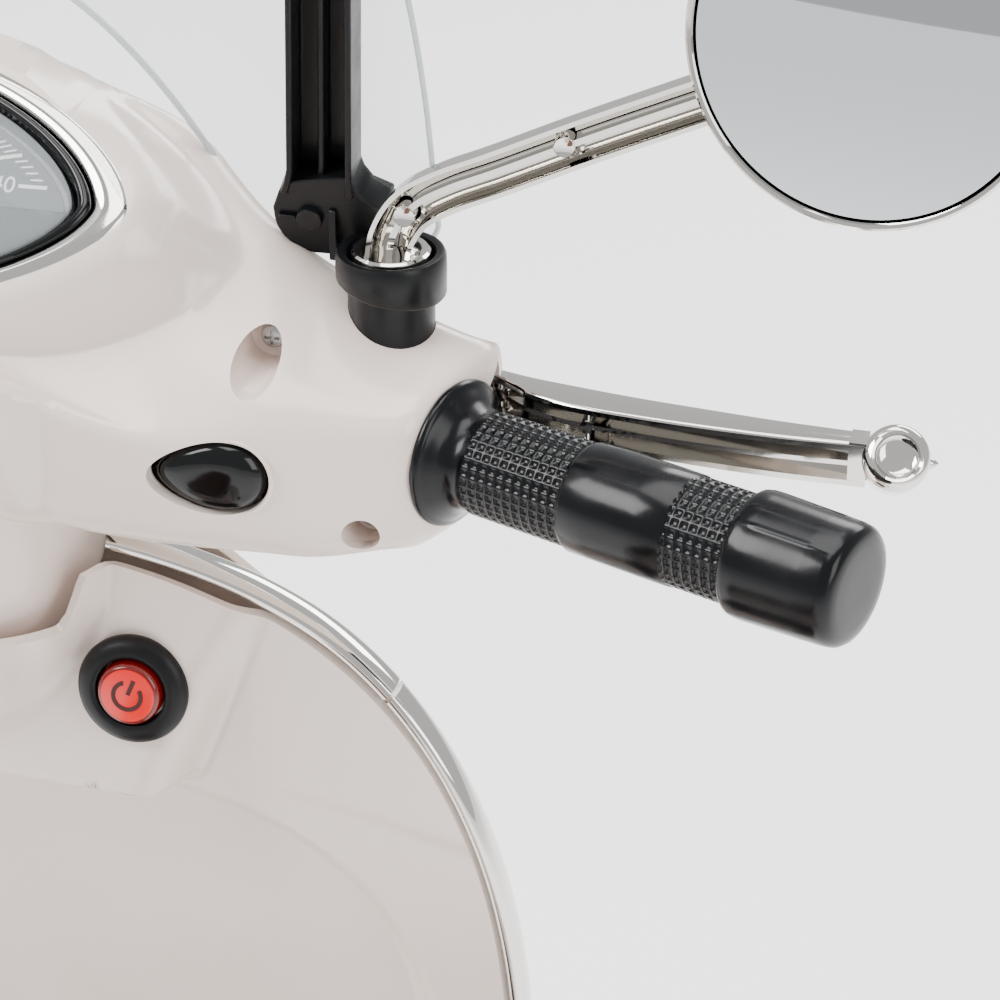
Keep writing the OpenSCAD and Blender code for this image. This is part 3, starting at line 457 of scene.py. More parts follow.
def podBlend(points):  # lifts the housing to the rim of the instrument, as a soft pod
    tilt = math.radians(38)
    d = points - np.array([0, 173, 712])
    v = d[..., 1] * math.cos(tilt) + d[..., 2] * math.sin(tilt)
    h = -d[..., 1] * math.sin(tilt) + d[..., 2] * math.cos(tilt)
    down = np.where(v < -6, 34, 42)
    k = (np.abs(d[..., 0] / 70) ** 1.6 + np.abs((v + 6) / down) ** 1.6) ** (1 / 1.6)
    lift = (-2.6 - h) * ease((1.34 - k) / 0.34) * ease((36 - np.abs(h)) / 12)
    out = points.copy()
    out[..., 1] -= lift * math.sin(tilt)
    out[..., 2] += lift * math.cos(tilt)
    return out


def eggLine(k, count=72):  # plan of the thumb buttons, blunt end outward
    a = np.linspace(0, 2 * np.pi, count, endpoint=False)
    return np.stack([14.4 * k * np.cos(a), 9.4 * k * np.sin(a) * (1 + 0.22 * np.cos(a))], -1)


def dashLine(k, count=120):  # rounded shield outline of the instrument
    a = np.linspace(0, 2 * np.pi, count, endpoint=False)
    s = np.sin(a)
    return np.stack([70 * k * bow(np.cos(a), 1.6), np.where(s < 0, 34, 42) * k * bow(s, 1.6) - 6],
                    -1)


def dashPoints(flat, h):  # points of the instrument's tilted plane, h above it
    tilt = math.radians(38)
    flat = np.asarray(flat, float)
    h = np.broadcast_to(h, flat.shape[:-1])
    return np.stack([flat[..., 0], 173 + flat[..., 1] * math.cos(tilt) - h * math.sin(tilt),
                     712 + flat[..., 1] * math.sin(tilt) + h * math.cos(tilt)], -1)


def prism(outline3, outline3b):  # closed solid between two outlines of the same count
    return tubeFrom(np.stack([outline3, outline3b]))


def rodSolid(a, b, radius, count=40):
    a, b = np.array(a, float), np.array(b, float)
    length = np.linalg.norm(b - a)
    return tubeFrom(spun(np.array([[0, radius], [length, radius]]), a, b - a, count))


# screw recesses: x, z at the bottom, radius, y of the floor, fall per millimetre toward the rider
screwHoles = [(104, 674.5, 5.8, 176, 0.0), (132.4, 634, 4.7, 163, 0.0)]


def trimTo(piece, grids):  # keeps only the part of a piece inside a closed skin of rings
    verts, faces = tubeFrom(grids[0])
    cutOut(piece, [(verts, faces)], "INTERSECT")


def makeHousing():
    ends = [(150.2, 0.6), (150.2, 0.8), (150.0, 0.9), (149.6, 0.955), (148.6, 0.985),
            (147.0, 0.997), (145.0, 1.0)]
    xs = np.concatenate([[e[0] for e in ends], np.linspace(142.5, 1.5, 100)])
    ss = np.concatenate([[e[1] for e in ends], np.ones(100)])
    xs = np.concatenate([-xs, xs[::-1]])[:, None]
    ss = np.concatenate([ss, ss[::-1]])[:, None]
    turn = np.radians(np.linspace(52, 298, 150))[None]
    verts, faces = wallFrom(podBlend(hsPoint(xs, turn, ss)), housing["wall"])
    rear = makePiece("headsetRearShell", verts, faces, ivoryAbs, "steering", "ivory_abs",
                     ["headset_rear"])
    dash = dashLine(0.985)
    cuts = [prism(dashPoints(dash, -26), dashPoints(dash, 60)),
            rodSolid(onColumn(-84), onColumn(-20), 43.6, 64)]
    for m in (-1, 1):
        egg = eggLine(1.05)
        ring = [np.stack([m * (95.8 + egg[:, 0]), np.full(len(egg), y), 650 + egg[:, 1]], -1)
                for y in (120, 165)]
        cuts.append(prism(*ring))
        for x, z, r, y1, tip in screwHoles:
            cuts.append(rodSolid((m * x, 110, z - tip * (y1 - 110)), (m * x, y1, z), r))
        cuts.append(rodSolid((m * 132, 186, 664), (m * 132, 186, 710), 11.1))
    cutOut(rear, cuts)
    xs2 = np.concatenate([-np.linspace(150, 1.2, 70), np.linspace(1.2, 150, 70)])[:, None]
    turn = np.radians(np.linspace(-61, 51, 56))[None]
    verts, faces = wallFrom(hsPoint(xs2, turn, 1.0), housing["wall"])
    front = makePiece("headsetFrontShell", verts, faces, ivoryAbs, "steering", "ivory_abs",
                      ["headset_front"])
    cuts = [rodSolid((0, 230, 655), (0, 300, 655), 40, 64),
            rodSolid(onColumn(-84), onColumn(-20), 43.6, 64)]
    for m in (-1, 1):  # mouths that the brake levers swing in
        mouth = [(m * 151 - 14.6, 191), (m * 151 + 14.6, 191), (m * 151 + 14.6, 217),
                 (m * 151 - 14.6, 217)]
        cuts.append(prism(*[np.array([(x, y, z) for x, y in mouth]) for z in (648.7, 661.2)]))
    cutOut(front, cuts)
    # walls and floor of the screw recesses, behind the skin
    shapes = []
    for m in (-1, 1):
        for x, z, r, y1, tip in screwHoles:
            axis = np.array([0, 1, tip]) / math.hypot(1, tip)
            end = np.array([m * x, y1, z])
            prof = np.array([(-30, r + 0.02), (0, r + 0.02), (0.6, r - 0.8), (0.8, 2.4), (2.4, 2.2),
                             (2.5, 0.05), (3.2, 0.05), (3.2, r + 0.7), (-30, r + 0.7)])
            rings = spun(prof, end, axis, 48)
            v, f = tubeFrom(np.concatenate([rings, rings[:1]]), capped=False)
            shapes.append((v, f))
    v, f = joinShapes(shapes)
    liner = makePiece("screwRecessLiners", v, f, ivoryAbs, "steering", "ivory_abs")
    trimTo(liner, [hsPoint(np.linspace(-150, 150, 160)[:, None], np.radians(np.linspace(0, 360, 120,
                   endpoint=False))[None], 0.997)])


def makeScrews():  # pan heads with a cross, seated on the recess floors
    shapes = []
    head = np.array([(-1, 0.05), (-1, 3.3), (0.7, 3.3), (1.6, 2.9), (2.1, 1.9), (2.3, 0.05)])
    for m in (-1, 1):
        for x, z, r, y1, tip in screwHoles:
            shapes.append(tubeFrom(spun(head, (m * x, y1 + 0.2, z), (0, -1, 0), 40)))
    v, f = joinShapes(shapes)
    piece = makePiece("housingScrews", v, f, zincPlate, "steering", "zinc", ["headset_screws"])
    cuts = []
    for m in (-1, 1):
        for x, z, r, y1, tip in screwHoles:
            for wide, tall in ((1.9, 0.45), (0.45, 1.9)):
                flat = [(-wide, -tall), (wide, -tall), (wide, tall), (-wide, tall)]
                cuts.append(prism(*[np.array([(m * x + a, y, z + b) for a, b in flat])
                                    for y in (y1 - 6, y1 - 1.0)]))
    cutOut(piece, cuts)


print("headset housing")
makeHousing()
makeScrews()


# ---- thumb buttons: egg plan with a low domed top, in a raised lip ----
def makeThumbButton(name, m, body, node):
    rings = []
    for k, depth in [(0.02, -4.4), (0.35, -4.3), (0.6, -3.9), (0.8, -3.0), (0.92, -1.9),
                     (0.985, -0.4), (1.0, 1.0), (1.0, 6.0), (0.02, 6.0)]:
        egg = eggLine(k)
        rings.append(np.stack([m * (95.8 + egg[:, 0]), np.full(len(egg), 145.6 + depth),
                               650 + egg[:, 1]], -1))
    v, f = tubeFrom(np.array(rings))
    makePiece(name, v, f, glossBlack, body, "gloss_black", [node])
    lip = []
    for t in np.linspace(0, 2 * np.pi, 12, endpoint=False):
        egg = eggLine(1.1 + 0.045 * math.cos(t))
        lip.append(np.stack([m * (95.8 + egg[:, 0]), np.full(len(egg), 144.7 + 0.9 * math.sin(t)),
                             650 + egg[:, 1]], -1))
    lip = np.array(lip)
    v, f = tubeFrom(np.concatenate([lip, lip[:1]]), capped=False)
    makePiece(name + "Lip", v, f, ivoryAbs, "steering", "ivory_abs")


makeThumbButton("hornButtonCap", 1, "horn", "horn_button")
makeThumbButton("musicButtonCap", -1, "music", "music_button")

# ---- grips: revolved profile, with square pads standing on two bands ----
grip = {"root": (152.0, 169.99, 650.0), "length": 119.0, "pad": 2.62, "groove": 0.4, "seam": math.radians(304)}


def makeGrip(name, m, node):
    corners = [(0, 11.05), (0, 17.6), (1.8, 18.2), (2.3, 18.9), (3.2, 19.05), (4.0, 18.8),
               (4.4, 18.0), (4.8, 17.3), (5.6, 16.7), (6.8, 15.0), (8.4, 13.5), (10.4, 12.95),
               (13, 12.9)]
    bandOne = [(s, 13.4) for s in np.arange(13.4, 42.0, 0.3)]
    middle = [(42.4, 13.9), (43, 14.15), (50, 14.25), (62, 14.3), (71.6, 14.2), (72.2, 13.8)]
    bandTwo = [(s, 13.9) for s in np.arange(72.6, 88.4, 0.3)]
    cap = [(88.6, 14.5), (89, 15.2), (89.7, 15.75), (91, 16.0), (93.5, 16.05)]
    cap += [(s, 16.05 - 0.025 * (s - 93)) for s in np.arange(94.2, 111, 0.8)]
    cap += [(111, 15.55),
           (115, 15.4), (117, 15.0), (118.2, 14.0), (118.8, 12.4), (119, 10), (119, 5), (119, 0.05)]
    profile = np.array(corners + bandOne + middle + bandTwo + cap)

    def pads(along, turn):  # soft-edged squares: low in the grooves between them
        around = 34 * turn / (2 * np.pi)
        u = np.abs((along / grip["pad"]) % 1 - 0.5) * 2
        v = np.abs(around % 1 - 0.5) * 2
        edge = np.maximum(u, v)
        # shallow square pits between raised ribs, as the mould leaves them
        lift = grip["groove"] * (ease((edge - 0.36) / 0.46) - 1)
        on = ((along > 13.3) & (along < 42)) | ((along > 72.5) & (along < 88.5))
        seam = 0.4 * bumpOf(turn - grip["seam"], 0.03, 2) * ease((along - 93) / 2.5) * ease(
            (112 - along) / 2)
        return np.where(on, lift, 0) + seam

    d = np.array([math.cos(housing["sweep"]), -math.sin(housing["sweep"]), 0])
    rings = spun(profile - np.array([2.4, 0]), grip["root"], d, 288,
                 lambda along, turn: pads(along + 2.4, turn))
    v, f = tubeFrom(rings)
    if m < 0:
        v = mirrorX(v)
    makePiece(name, v, f, softPvc, "steering", "grip_pvc", [node], sharp=60)


print("grips")
makeGrip("gripRightCover", 1, "grip_right")
makeGrip("gripLeftCover", -1, "grip_left")

# ---- brake levers: plated top and nose, open ribbed channel behind, ball end ----
lever = {"z": 655.0, "height": 9.6,
         "nose": [(143, 209), (149, 206), (155, 200), (164, 196.6), (173, 194.5), (192, 191),
                  (211, 188.4), (231, 186), (253.5, 184.3)],
         "tail": [(143, 196.4), (149, 196.4), (155, 195.6), (161, 191.4), (168, 186.4), (180, 182.2),
                  (195, 179.8), (213, 178), (233, 177), (253.5, 177.2)]}


def leverPlate(low, high, nose, tail, count=70, roundOver=0.0):  # low, high: heights at root and tip
    a = smoothLine([(x, y, 0) for x, y in nose], count)
    b = smoothLine([(x, y, 0) for x, y in tail], count)
    t = np.linspace(0, 1, count)
    z0, z1 = low[0] + (low[1] - low[0]) * t, high[0] + (high[1] - high[0]) * t
    r = roundOver
    over = np.array([(0, -r, 0, 0), (0, 0, 0, r), (0, 0, 1, -r * 1.6), (0, -r * 0.7, 1, -r * 0.4),
                     (0, -r * 1.6, 1, 0), (1, r * 1.2, 1, 0), (1, r * 0.4, 1, -r * 0.4),
                     (1, 0, 1, -r), (1, 0, 0, 0)])
    rings = []
    for p, q, lo, hi in zip(a, b, z0, z1):
        rings.append([((q if o[0] else p)[0], (q if o[0] else p)[1] + o[1],
                       (hi if o[2] else lo) + o[3]) for o in over])
    return tubeFrom(np.array(rings))


def makeLever(name, m, body, node):
    z, h = lever["z"], lever["height"] / 2
    nose, tail = lever["nose"], lever["tail"]
    wall = [(x, y - 2.2) for x, y in nose]
    back = [(x, y + 0.7) for x, y in tail]
    root, tip = -h + 0.6, -h - 1.6
    up, upTip = h, h + 0.8
    shapes = [leverPlate((z + up - 1.9, z + upTip - 2.2), (z + up, z + upTip), nose, tail,
                         roundOver=0.7),
              leverPlate((z + root, z + tip), (z + root + 1.4, z + tip + 1.5), nose, tail),
              leverPlate((z + root + 0.5, z + tip + 0.5), (z + up - 0.8, z + upTip - 0.8), nose, wall),
              leverPlate((z - 0.9, z - 1.1), (z + 0.2, z + 0.2), wall, back),
              rodSolid((142.5, 203, z - 5.6), (142.5, 203, z + 5.6), 6.8, 48)]
    ribs = smoothLine([(x, y, 0) for x, y in back], 101)
    inner = smoothLine([(x, y, 0) for x, y in wall], 101)
    for t in (0.28, 0.585):
        k = int(t * 100)
        b = ribs[k]
        a = inner[np.argmin(np.abs(inner[:, 0] - b[0]))]
        low, high = z + root + (tip - root) * t, z + up + 0.8 * t
        shapes.append(rodSolid((b[0], b[1] + 0.6, low + 0.4), (b[0], b[1] + 0.6, high - 0.8), 0.8, 16))
        shapes.append(rodSolid((b[0], b[1] - 0.5, z - 0.5), (b[0], b[1] + 4, z - 0.5), 1.75, 24))
        box = [(b[0] - 0.5, a[1]), (b[0] + 0.5, a[1]), (b[0] + 0.5, b[1]), (b[0] - 0.5, b[1])]
        shapes.append(prism(*[np.array([(x, y, q) for x, y in box])
                              for q in (low + 0.6, high - 1.0)]))
    # end block of the channel, then the disc-shaped end with a dished face and a moulding nib
    shapes.append(leverPlate((z + tip, z + tip), (z + upTip, z + upTip),
                             [(249.5, 184.6), (254, 184.4)], [(249.5, 177.2), (254, 177.2)], 3))
    disc = np.array([(-7.4, 0.05), (-7.4, 6.2), (-6.4, 7.9), (-4, 8.7), (3, 8.8), (5.4, 8.4),
                     (6.5, 7.5), (6.9, 6.6), (6.6, 5.9), (5.6, 5.3), (4.9, 4.0), (4.7, 2), (4.7, 0.05)])
    tilt = np.array([0.16, -0.80, 0.60])
    shapes.append(tubeFrom(spun(disc * np.array([0.9, 0.96]), (260.8, 180.6, z + 0.4), tilt, 72)))
    shapes.append(tubeFrom(spun(np.array([(-1, 2.2), (1, 1.7), (2.4, 0.9), (3.2, 0.1)]),
                                (268.2, 181.0, z + 0.2), (1, 0.1, 0), 20)))
    v, f = joinShapes(shapes)
    if m < 0:
        v = mirrorX(v)
    makePiece(name, v, f, platedAbs, body, "chrome_plastic", [node], sharp=32)


print("levers")
makeLever("brakeLeverRightBlade", 1, "lever_right", "brake_lever_right")
makeLever("brakeLeverLeftBlade", -1, "lever_left", "brake_lever_left")

# ---- mirrors: channel arm, foot ring, dished shell and glass ----
mirror = {"centre": np.array([249.0, 186.0, 762.0]), "radius": 45.0,
          "facing": np.array([-0.138, -0.981, 0.139]),
          "path": [(131.6, 186, 694), (133, 186.4, 701), (137.6, 187.5, 708.3), (146, 189, 713.4),
                   (158, 190.6, 718.4), (180, 193, 728.2), (202, 195, 737.6), (222, 197, 746),
                   (234, 197.0, 752)]}


def makeMirror(side, m, body):
    path = smoothLine(mirror["path"], 90)
    # open channel: a rounded U whose mouth faces the rider
    wide, deep, wall = 5.9, 4.8, 1.2
    turn = np.radians(np.linspace(0, 180, 21))
    outer = np.stack([wide * np.cos(turn), deep * 0.35 + deep * 0.95 * np.sin(turn) ** 0.8], -1)
    inner = np.stack([(wide - wall) * np.cos(turn),
                      deep * 0.3 + (deep * 0.95 - wall) * np.sin(turn) ** 0.8], -1)
    mouth = -deep * 0.75
    profile = np.concatenate([[(wide, mouth)], outer, [(-wide, mouth), (-wide + wall, mouth)],
                              inner[::-1], [(wide - wall, mouth)]])
    profile = profile[:, [0, 1]]
    tang, _, _ = frameAlong(path, np.array([0, 1.0, 0]))
    up = np.cross(tang, [0, 1.0, 0])
    up /= np.linalg.norm(up, axis=1, keepdims=True)
    fore = np.cross(up, tang)
    fore *= np.sign(fore[:, 1:2])
    grow = 0.96 + 0.04 * ease(np.linspace(0, 1, 90) / 0.25)
    p = profile[None] * grow[:, None, None]
    rings = path[:, None] + up[:, None] * p[..., :1] + fore[:, None] * p[..., 1:2]
    shapes = [tubeFrom(rings)]
    # web down the middle of the channel
    web = np.array([(0.8, deep * 0.9), (-0.8, deep * 0.9), (-0.8, -deep * 0.3), (0.8, -deep * 0.3)])
    p = web[None] * grow[:, None, None]
    shapes.append(tubeFrom(path[:, None] + up[:, None] * p[..., :1] + fore[:, None] * p[..., 1:2]))
    foot = np.array([(0, 0.05), (0, 9.8), (6.2, 10.2), (7.4, 10.25), (8.3, 10.0), (8.8, 9.4),
                     (8.7, 8.5), (8.1, 7.3), (7.3, 6.3), (7.0, 5.6), (7.0, 0.05)])
    shapes.append(tubeFrom(spun(foot, (132, 186, 688), (0, 0, 1), 64)))
    shapes.append(rodSolid((132, 186, 671), (132, 186, 690), 4, 32))
    # shallow round marks where the moulding was pushed out
    for k in (18, 53):
        mark = path[k] - fore[k] * deep * 0.3
        ring = np.array([(-5, 0.05), (-5, 2.75), (0.05, 2.7), (0.2, 2.55), (0.1, 2.35), (0.05, 0.05)])
        shapes.append(tubeFrom(spun(ring, mark, -fore[k], 40)))
    away = -mirror["facing"]
    r = mirror["radius"]
    dish = np.array([(14, 0.05), (13.6, 12), (12.4, 22), (9.6, 32), (5.6, 40), (1.0, 45), (-2.0, 46),
                     (-3.6, 45.8), (-4.2, 45.1), (-4.0, 44.2), (-2.6, 43.6), (-1.0, 43.4), (3, 40),
                     (8, 30), (11, 18), (12, 0.05)]) * np.array([1, r / 46])
    shapes.append(tubeFrom(spun(dish, mirror["centre"], away, 120)))
    v, f = joinShapes(shapes)
    v = mirrorX(v) if m < 0 else v
    makePiece("mirrorArm" + side, v, f, platedAbs, body, "chrome_plastic",
              ["mirror_arm_" + side.lower()], sharp=34)
    rho = np.linspace(1, 0.001, 24)
    glass = np.stack([-2.9 + 1.2 * (1 - rho ** 2) * -1, rho * (r - 2.7)], -1)
    glass = np.concatenate([[(-1.2, 0.05), (-1.2, r - 2.7)], glass])
    v, f = tubeFrom(spun(glass, mirror["centre"], away, 120))
    v = mirrorX(v) if m < 0 else v
    makePiece("mirrorGlass" + side, v, f, mirrorFilm, body, "mirror_film",
              ["mirror_glass_" + side.lower()], sharp=50)


print("mirrors")
makeMirror("Right", 1, "mirror_right")
makeMirror("Left", -1, "mirror_left")

# ---- mirror sockets: waisted post with a skirted collar ----
socketShape = np.array([(667, 4.1), (667, 10.9), (674, 10.9), (682, 11.0), (686.2, 11.1),
                        (686.6, 13.3), (687.4, 13.9), (692, 14.0), (695.2, 13.9), (696.2, 13.4), (696.4, 12.4),
                        (696, 11.4), (694.6, 10.9), (689.6, 10.8), (687.2, 10.4), (687.0, 4.1)])


def makeSockets():
    shapes = []
    for m in (-1, 1):
        rings = spun(socketShape, (m * 132, 186, 0), (0, 0, 1), 72)
        # the skirt hangs lower on the outer side, where the housing falls away
        fall = 0.17 * (np.abs(rings[..., 0]) - 132) * ease((690 - rings[..., 2]) / 3)
        rings[..., 2] -= fall * ease((rings[..., 2] - 682) / 4)
        shapes.append(tubeFrom(np.concatenate([rings, rings[:1]]), capped=False))
    v, f = joinShapes(shapes)
    makePiece("mirrorSocketCollars", v, f, blackAbs, "steering", "black_abs", ["mirror_sockets"])


print("sockets")
makeSockets()


# ---- windscreen: bent clear sheet with a visible polished edge ----
def screenY(x, z):
    return 221 - 0.3 * (z - 690) - 0.0009 * x * x


def screenLow(x):
    ax = np.abs(x)
    arch = 687 + 78 * (1 - (np.minimum(ax, 88) / 88) ** 2.6) ** 0.95
    foot = 687 + 14 * (1 - np.sqrt(np.maximum(1 - (np.maximum(ax - 127, 0) / 14.2) ** 2, 0)))
    return np.where(ax < 88, arch, foot)


def screenHigh(x):
    return 700 + 180 * np.maximum(1 - (np.abs(x) / 141) ** 3, 1e-5) ** (1 / 3)


def makeScreen():
    x = 140.8 * np.sin(np.radians(np.linspace(-89, 89, 121)))[:, None]
    t = np.linspace(0, 1, 40)[None]
    z = screenLow(x) * (1 - t) + screenHigh(x) * t
    verts, faces = wallFrom(np.stack([x + 0 * z, screenY(x, z), z], -1), -2.0)
    makePiece("windscreenSheet", verts, faces, clearAcrylic, "steering", "clear_acrylic",
              ["windscreen"], sharp=50)
    # polished edge: a slim bead round the outline
    xs = 140.8 * np.sin(np.radians(np.linspace(-89, 89, 181)))
    low = np.stack([xs, screenY(xs, screenLow(xs)), screenLow(xs)], -1)
    high = np.stack([xs, screenY(xs, screenHigh(xs)), screenHigh(xs)], -1)[::-1]
    line = np.concatenate([low, high])
    nxt, prv = np.roll(line, -1, 0), np.roll(line, 1, 0)
    tang = nxt - prv
    tang /= np.linalg.norm(tang, axis=1, keepdims=True)
    n = np.cross(tang, [0, 1.0, 0])
    n /= np.linalg.norm(n, axis=1, keepdims=True)
    turn = np.linspace(0, 2 * np.pi, 8, endpoint=False)
    rings = (line[:, None] + np.array([0, -1.0, 0]) + n[:, None] * 0.75 * np.cos(turn)[None, :, None]
             + np.array([0, 1.0, 0]) * 1.15 * np.sin(turn)[None, :, None])
    v, f = tubeFrom(np.concatenate([rings, rings[:1]]), capped=False)
    makePiece("windscreenEdge", v, f, acrylicEdge, "steering", "clear_acrylic", sharp=60)


print("windscreen")
makeScreen()


# ---- windscreen brackets: upright channel with a rib, rounded foot, link to the post ----
def makeBrackets():
    shapes = []
    # rider's face of the moulding: a plane leaning back with the screen; depth runs forward
    lean = np.array([0.1, -0.285, 0.953])
    fore = np.array([0, 0.957, 0.29])
    front = np.array([114.0, 185.6, 722.0])
    outline = np.array([(-8.4, 0), (-8.4, 10.4), (-7.7, 11), (7.7, 11), (8.4, 10.4), (8.4, 0),
                        (6.7, 0), (6.7, 8.6), (0.8, 8.6), (0.8, 2.6), (-0.8, 2.6), (-0.8, 8.6),
                        (-6.7, 8.6), (-6.7, 0)])
    rings = []
    for along, wide, shift in [(-16, 1.12, -0.6), (-12, 1.04, -0.2), (-8, 1.0, 0), (30, 0.98, 0),
                               (84, 0.95, 0)]:
        pt = outline * np.array([wide, 1.0])
        rings.append(front + along * lean + (pt[:, :1] + shift) * np.array([1.0, 0, 0])
                     + pt[:, 1:] * fore)
    shapes.append(tubeFrom(np.array(rings)))
    # foot: flared plate with a round lower corner, running into the arm to the mirror post
    turn = np.radians(np.linspace(180, 265, 12))
    corner = np.stack([110.2 + 10.4 * np.cos(turn), 698.6 + 10.6 * np.sin(turn)], -1)
    flat = np.concatenate([[(104.0, 710.0), (101.6, 706.2), (99.8, 701.6)], corner,
                           [(121, 688.2), (127.6, 689.6), (129.2, 704.2), (124, 706.4),
                            (122.0, 709.6), (121.2, 713)]])
    for k, (near, far) in enumerate([(0.6, 11.0)]):
        skin = []
        for depth, grow in [(near + 0.5, 0.96), (near, 0.985), (near + 0.4, 1.0), (far, 1.0)]:
            mid = flat.mean(0)
            pt = mid + (flat - mid) * grow
            base = np.stack([pt[:, 0], 185.6 - 0.3 * (pt[:, 1] - 722), pt[:, 1]], -1)
            skin.append(base + depth * fore)
        shapes.append(tubeFrom(np.array(skin[1:])))
    boss = np.array([(-3, 0.05), (-3, 3.4), (0.9, 3.3), (1.1, 3.1), (1.15, 0.05)])
    shapes.append(tubeFrom(spun(boss, (109.4, 192.4, 699.8), -fore, 40)))
    # short web from the boss to the outer edge, and the wall of the arm
    shapes.append(prism(*[np.array([(101.2, y, 699.4), (106, y, 699.4), (106, y, 700.3),
                                    (101.2, y, 700.3)]) for y in (191.6, 196)]))
    shapes.append(prism(*[np.array([(114.6, y, 689.2), (116.4, y, 689.2), (116.4, y, 703),
                                    (114.6, y, 703)]) for y in (191.0, 198)]))
    v, f = joinShapes(shapes)
    both = joinShapes([(v, f), (mirrorX(v), f)])
    makePiece("screenBracketPair", *both, blackAbs, "steering", "gloss_black",
              ["screen_brackets"], bevel=0.6)


print("brackets")
makeBrackets()


# ---- instrument: plated surround, black case, dial print and lens ----
def makeInstrument():
    steps = [(0.98, -16), (0.98, -4.0), (1.0, -3.4), (1.004, -2.4), (0.998, -0.6), (0.99, 0.1),
             (0.975, 0.5), (0.93, 0.75), (0.885, 0.5), (0.874, -0.1), (0.87, -1.2), (0.87, -4),
             (0.87, -16)]
    rings = np.array([dashPoints(dashLine(k, 160), h) for k, h in steps])
    v, f = tubeFrom(np.concatenate([rings, rings[:1]]), capped=False)
    makePiece("instrumentSurround", v, f, platedAbs, "steering", "chrome_plastic",
              ["speedo_surround"], sharp=60)
    steps = [(0.02, -18), (0.85, -18), (0.865, -17), (0.865, -1.0), (0.858, 0.6), (0.842, 1.2),
             (0.822, 0.9), (0.81, -0.4), (0.795, -3.4), (0.77, -5.2), (0.75, -5.6), (0.02, -5.6)]
    rings = np.array([dashPoints(dashLine(k, 160), h) for k, h in steps])
    v, f = tubeFrom(rings)
    makePiece("instrumentCase", v, f, glossBlack, "steering", "dial", ["speedo_case"], sharp=60)
    # dial card over the upper part of the case
    card = dashLine(0.74, 160)
    card[:, 1] = np.maximum(card[:, 1], -5.5)
    v, f = prism(dashPoints(card, -5.8), dashPoints(card, -5.1))
    makePiece("instrumentDial", v, f, dialFace, "steering", "dial", sharp=30)
    # scale: a tick every two units and a long one every ten, drawn from the centre
    hub = np.array([-1.0, -0.2])
    shapes = []
    for unit in range(0, 141, 2):
        a = math.radians(1.0 + (140 - unit) * 1.27)
        d = np.array([math.cos(a), math.sin(a)])
        s = np.linspace(20, 70, 400)
        pts = hub + s[:, None] * d
        inside = (np.abs(pts[:, 0] / (70 * 0.7)) ** 1.6
                  + np.abs((pts[:, 1] + 6) / (42 * 0.7)) ** 1.6) < 1
        end = s[inside].max() if inside.any() else 40
        long = unit % 10 == 0
        start = end - (7.5 if long else 3.2)
        w = 0.5 if long else 0.22
        n = np.array([-d[1], d[0]]) * w
        quad = np.array([hub + start * d - n, hub + end * d - n, hub + end * d + n,
                         hub + start * d + n])
        shapes.append(prism(dashPoints(quad, -5.05), dashPoints(quad, -4.95)))
        if long and unit % 20 == 0:
            text = bpy.data.curves.new("dialNumber", "FONT")
            text.body = str(unit)
            text.size = 6.4
            text.align_x, text.align_y = "CENTER", "CENTER"
            text.extrude = 0.04
            holder = bpy.data.objects.new("dialNumber", text)
            bpy.context.scene.collection.objects.link(holder)
            flat = bpy.data.meshes.new_from_object(
                holder.evaluated_get(bpy.context.evaluated_depsgraph_get()))
            pts = np.empty(len(flat.vertices) * 3)
            flat.vertices.foreach_get("co", pts)
            pts = pts.reshape(-1, 3)
            place = hub + (start - 5.6) * d
            at = dashPoints(pts[:, :2] + place, -5.0 + pts[:, 2])
            shapes.append((at, [list(p.vertices) for p in flat.polygons]))
            bpy.data.objects.remove(holder)
            bpy.data.curves.remove(text)
            bpy.data.meshes.remove(flat)
    v, f = joinShapes(shapes)
    makePiece("instrumentScale", v, f, dialInk, "steering", "dial", recalc=False)
    needle = np.array([(-3.0, -1.3), (34, -0.35), (34, 0.35), (-3.0, 1.3)])
    a = math.radians(1.0 + 140 * 1.27)
    turnTo = np.array([[math.cos(a), math.sin(a)], [-math.sin(a), math.cos(a)]])
    at = needle @ turnTo + hub
    v, f = prism(dashPoints(at, -4.6), dashPoints(at, -4.0))
    # the needle takes the switch red, faint painted glow included
    makePiece("instrumentNeedle", v, f, switchRedPaintedGlow, "steering", "dial")
    rings = np.array([dashPoints(dashLine(k, 160), h) for k, h in
                      [(0.02, -1.6), (0.785, -1.6), (0.785, -0.6), (0.77, -0.1), (0.5, 0.0), (0.02, 0.0)]])
    v, f = tubeFrom(rings)
    makePiece("instrumentLens", v, f, clearAcrylic, "steering", "clear_acrylic", ["speedo_lens"])


print("instrument")
makeInstrument()

# ---- leg shield: raised switch panel, collar round the neck, rolled rim ----
shield = {"w": 162.0, "top": 593.0, "wall": 2.6}


def shieldY(x, z):
    return 200 + 0.14 * (590 - z) - 0.0012 * x * x


def shieldHigh(x):
    return 420 + (shield["top"] - 420) * np.maximum(
        1 - np.minimum(np.abs(x) / shield["w"], 1) ** 3.2, 0) ** (1 / 3.2)


def shieldLow(x):
    ax = np.abs(x)
    return np.where(ax > shield["w"] - 50,
                    420 - 253 * np.sqrt(np.maximum(shield["w"] - ax, 0) / 50), 167.0)


def shelfAt(x, z):  # panel that carries the switch, facing a little upward
    return (4 + 0.3 * (590 - z)) * np.exp(-np.abs(x / (66 + 0.4 * (z - 520))) ** 24)


def collarAt(x, z):  # round yoke that follows the steering neck and narrows downward
    w = 51 * np.sqrt(np.clip((z - 514) / 66, 0, 1))
    return 0.934 * np.sqrt(np.maximum(w * w - x * x, 0)) - 6


def raiseAt(x, z):
    a, b = shelfAt(x, z), collarAt(x, z)
    return (a + ((b - a) + np.sqrt((b - a) ** 2 + 16)) / 2) * ease((z - 517) / 8)


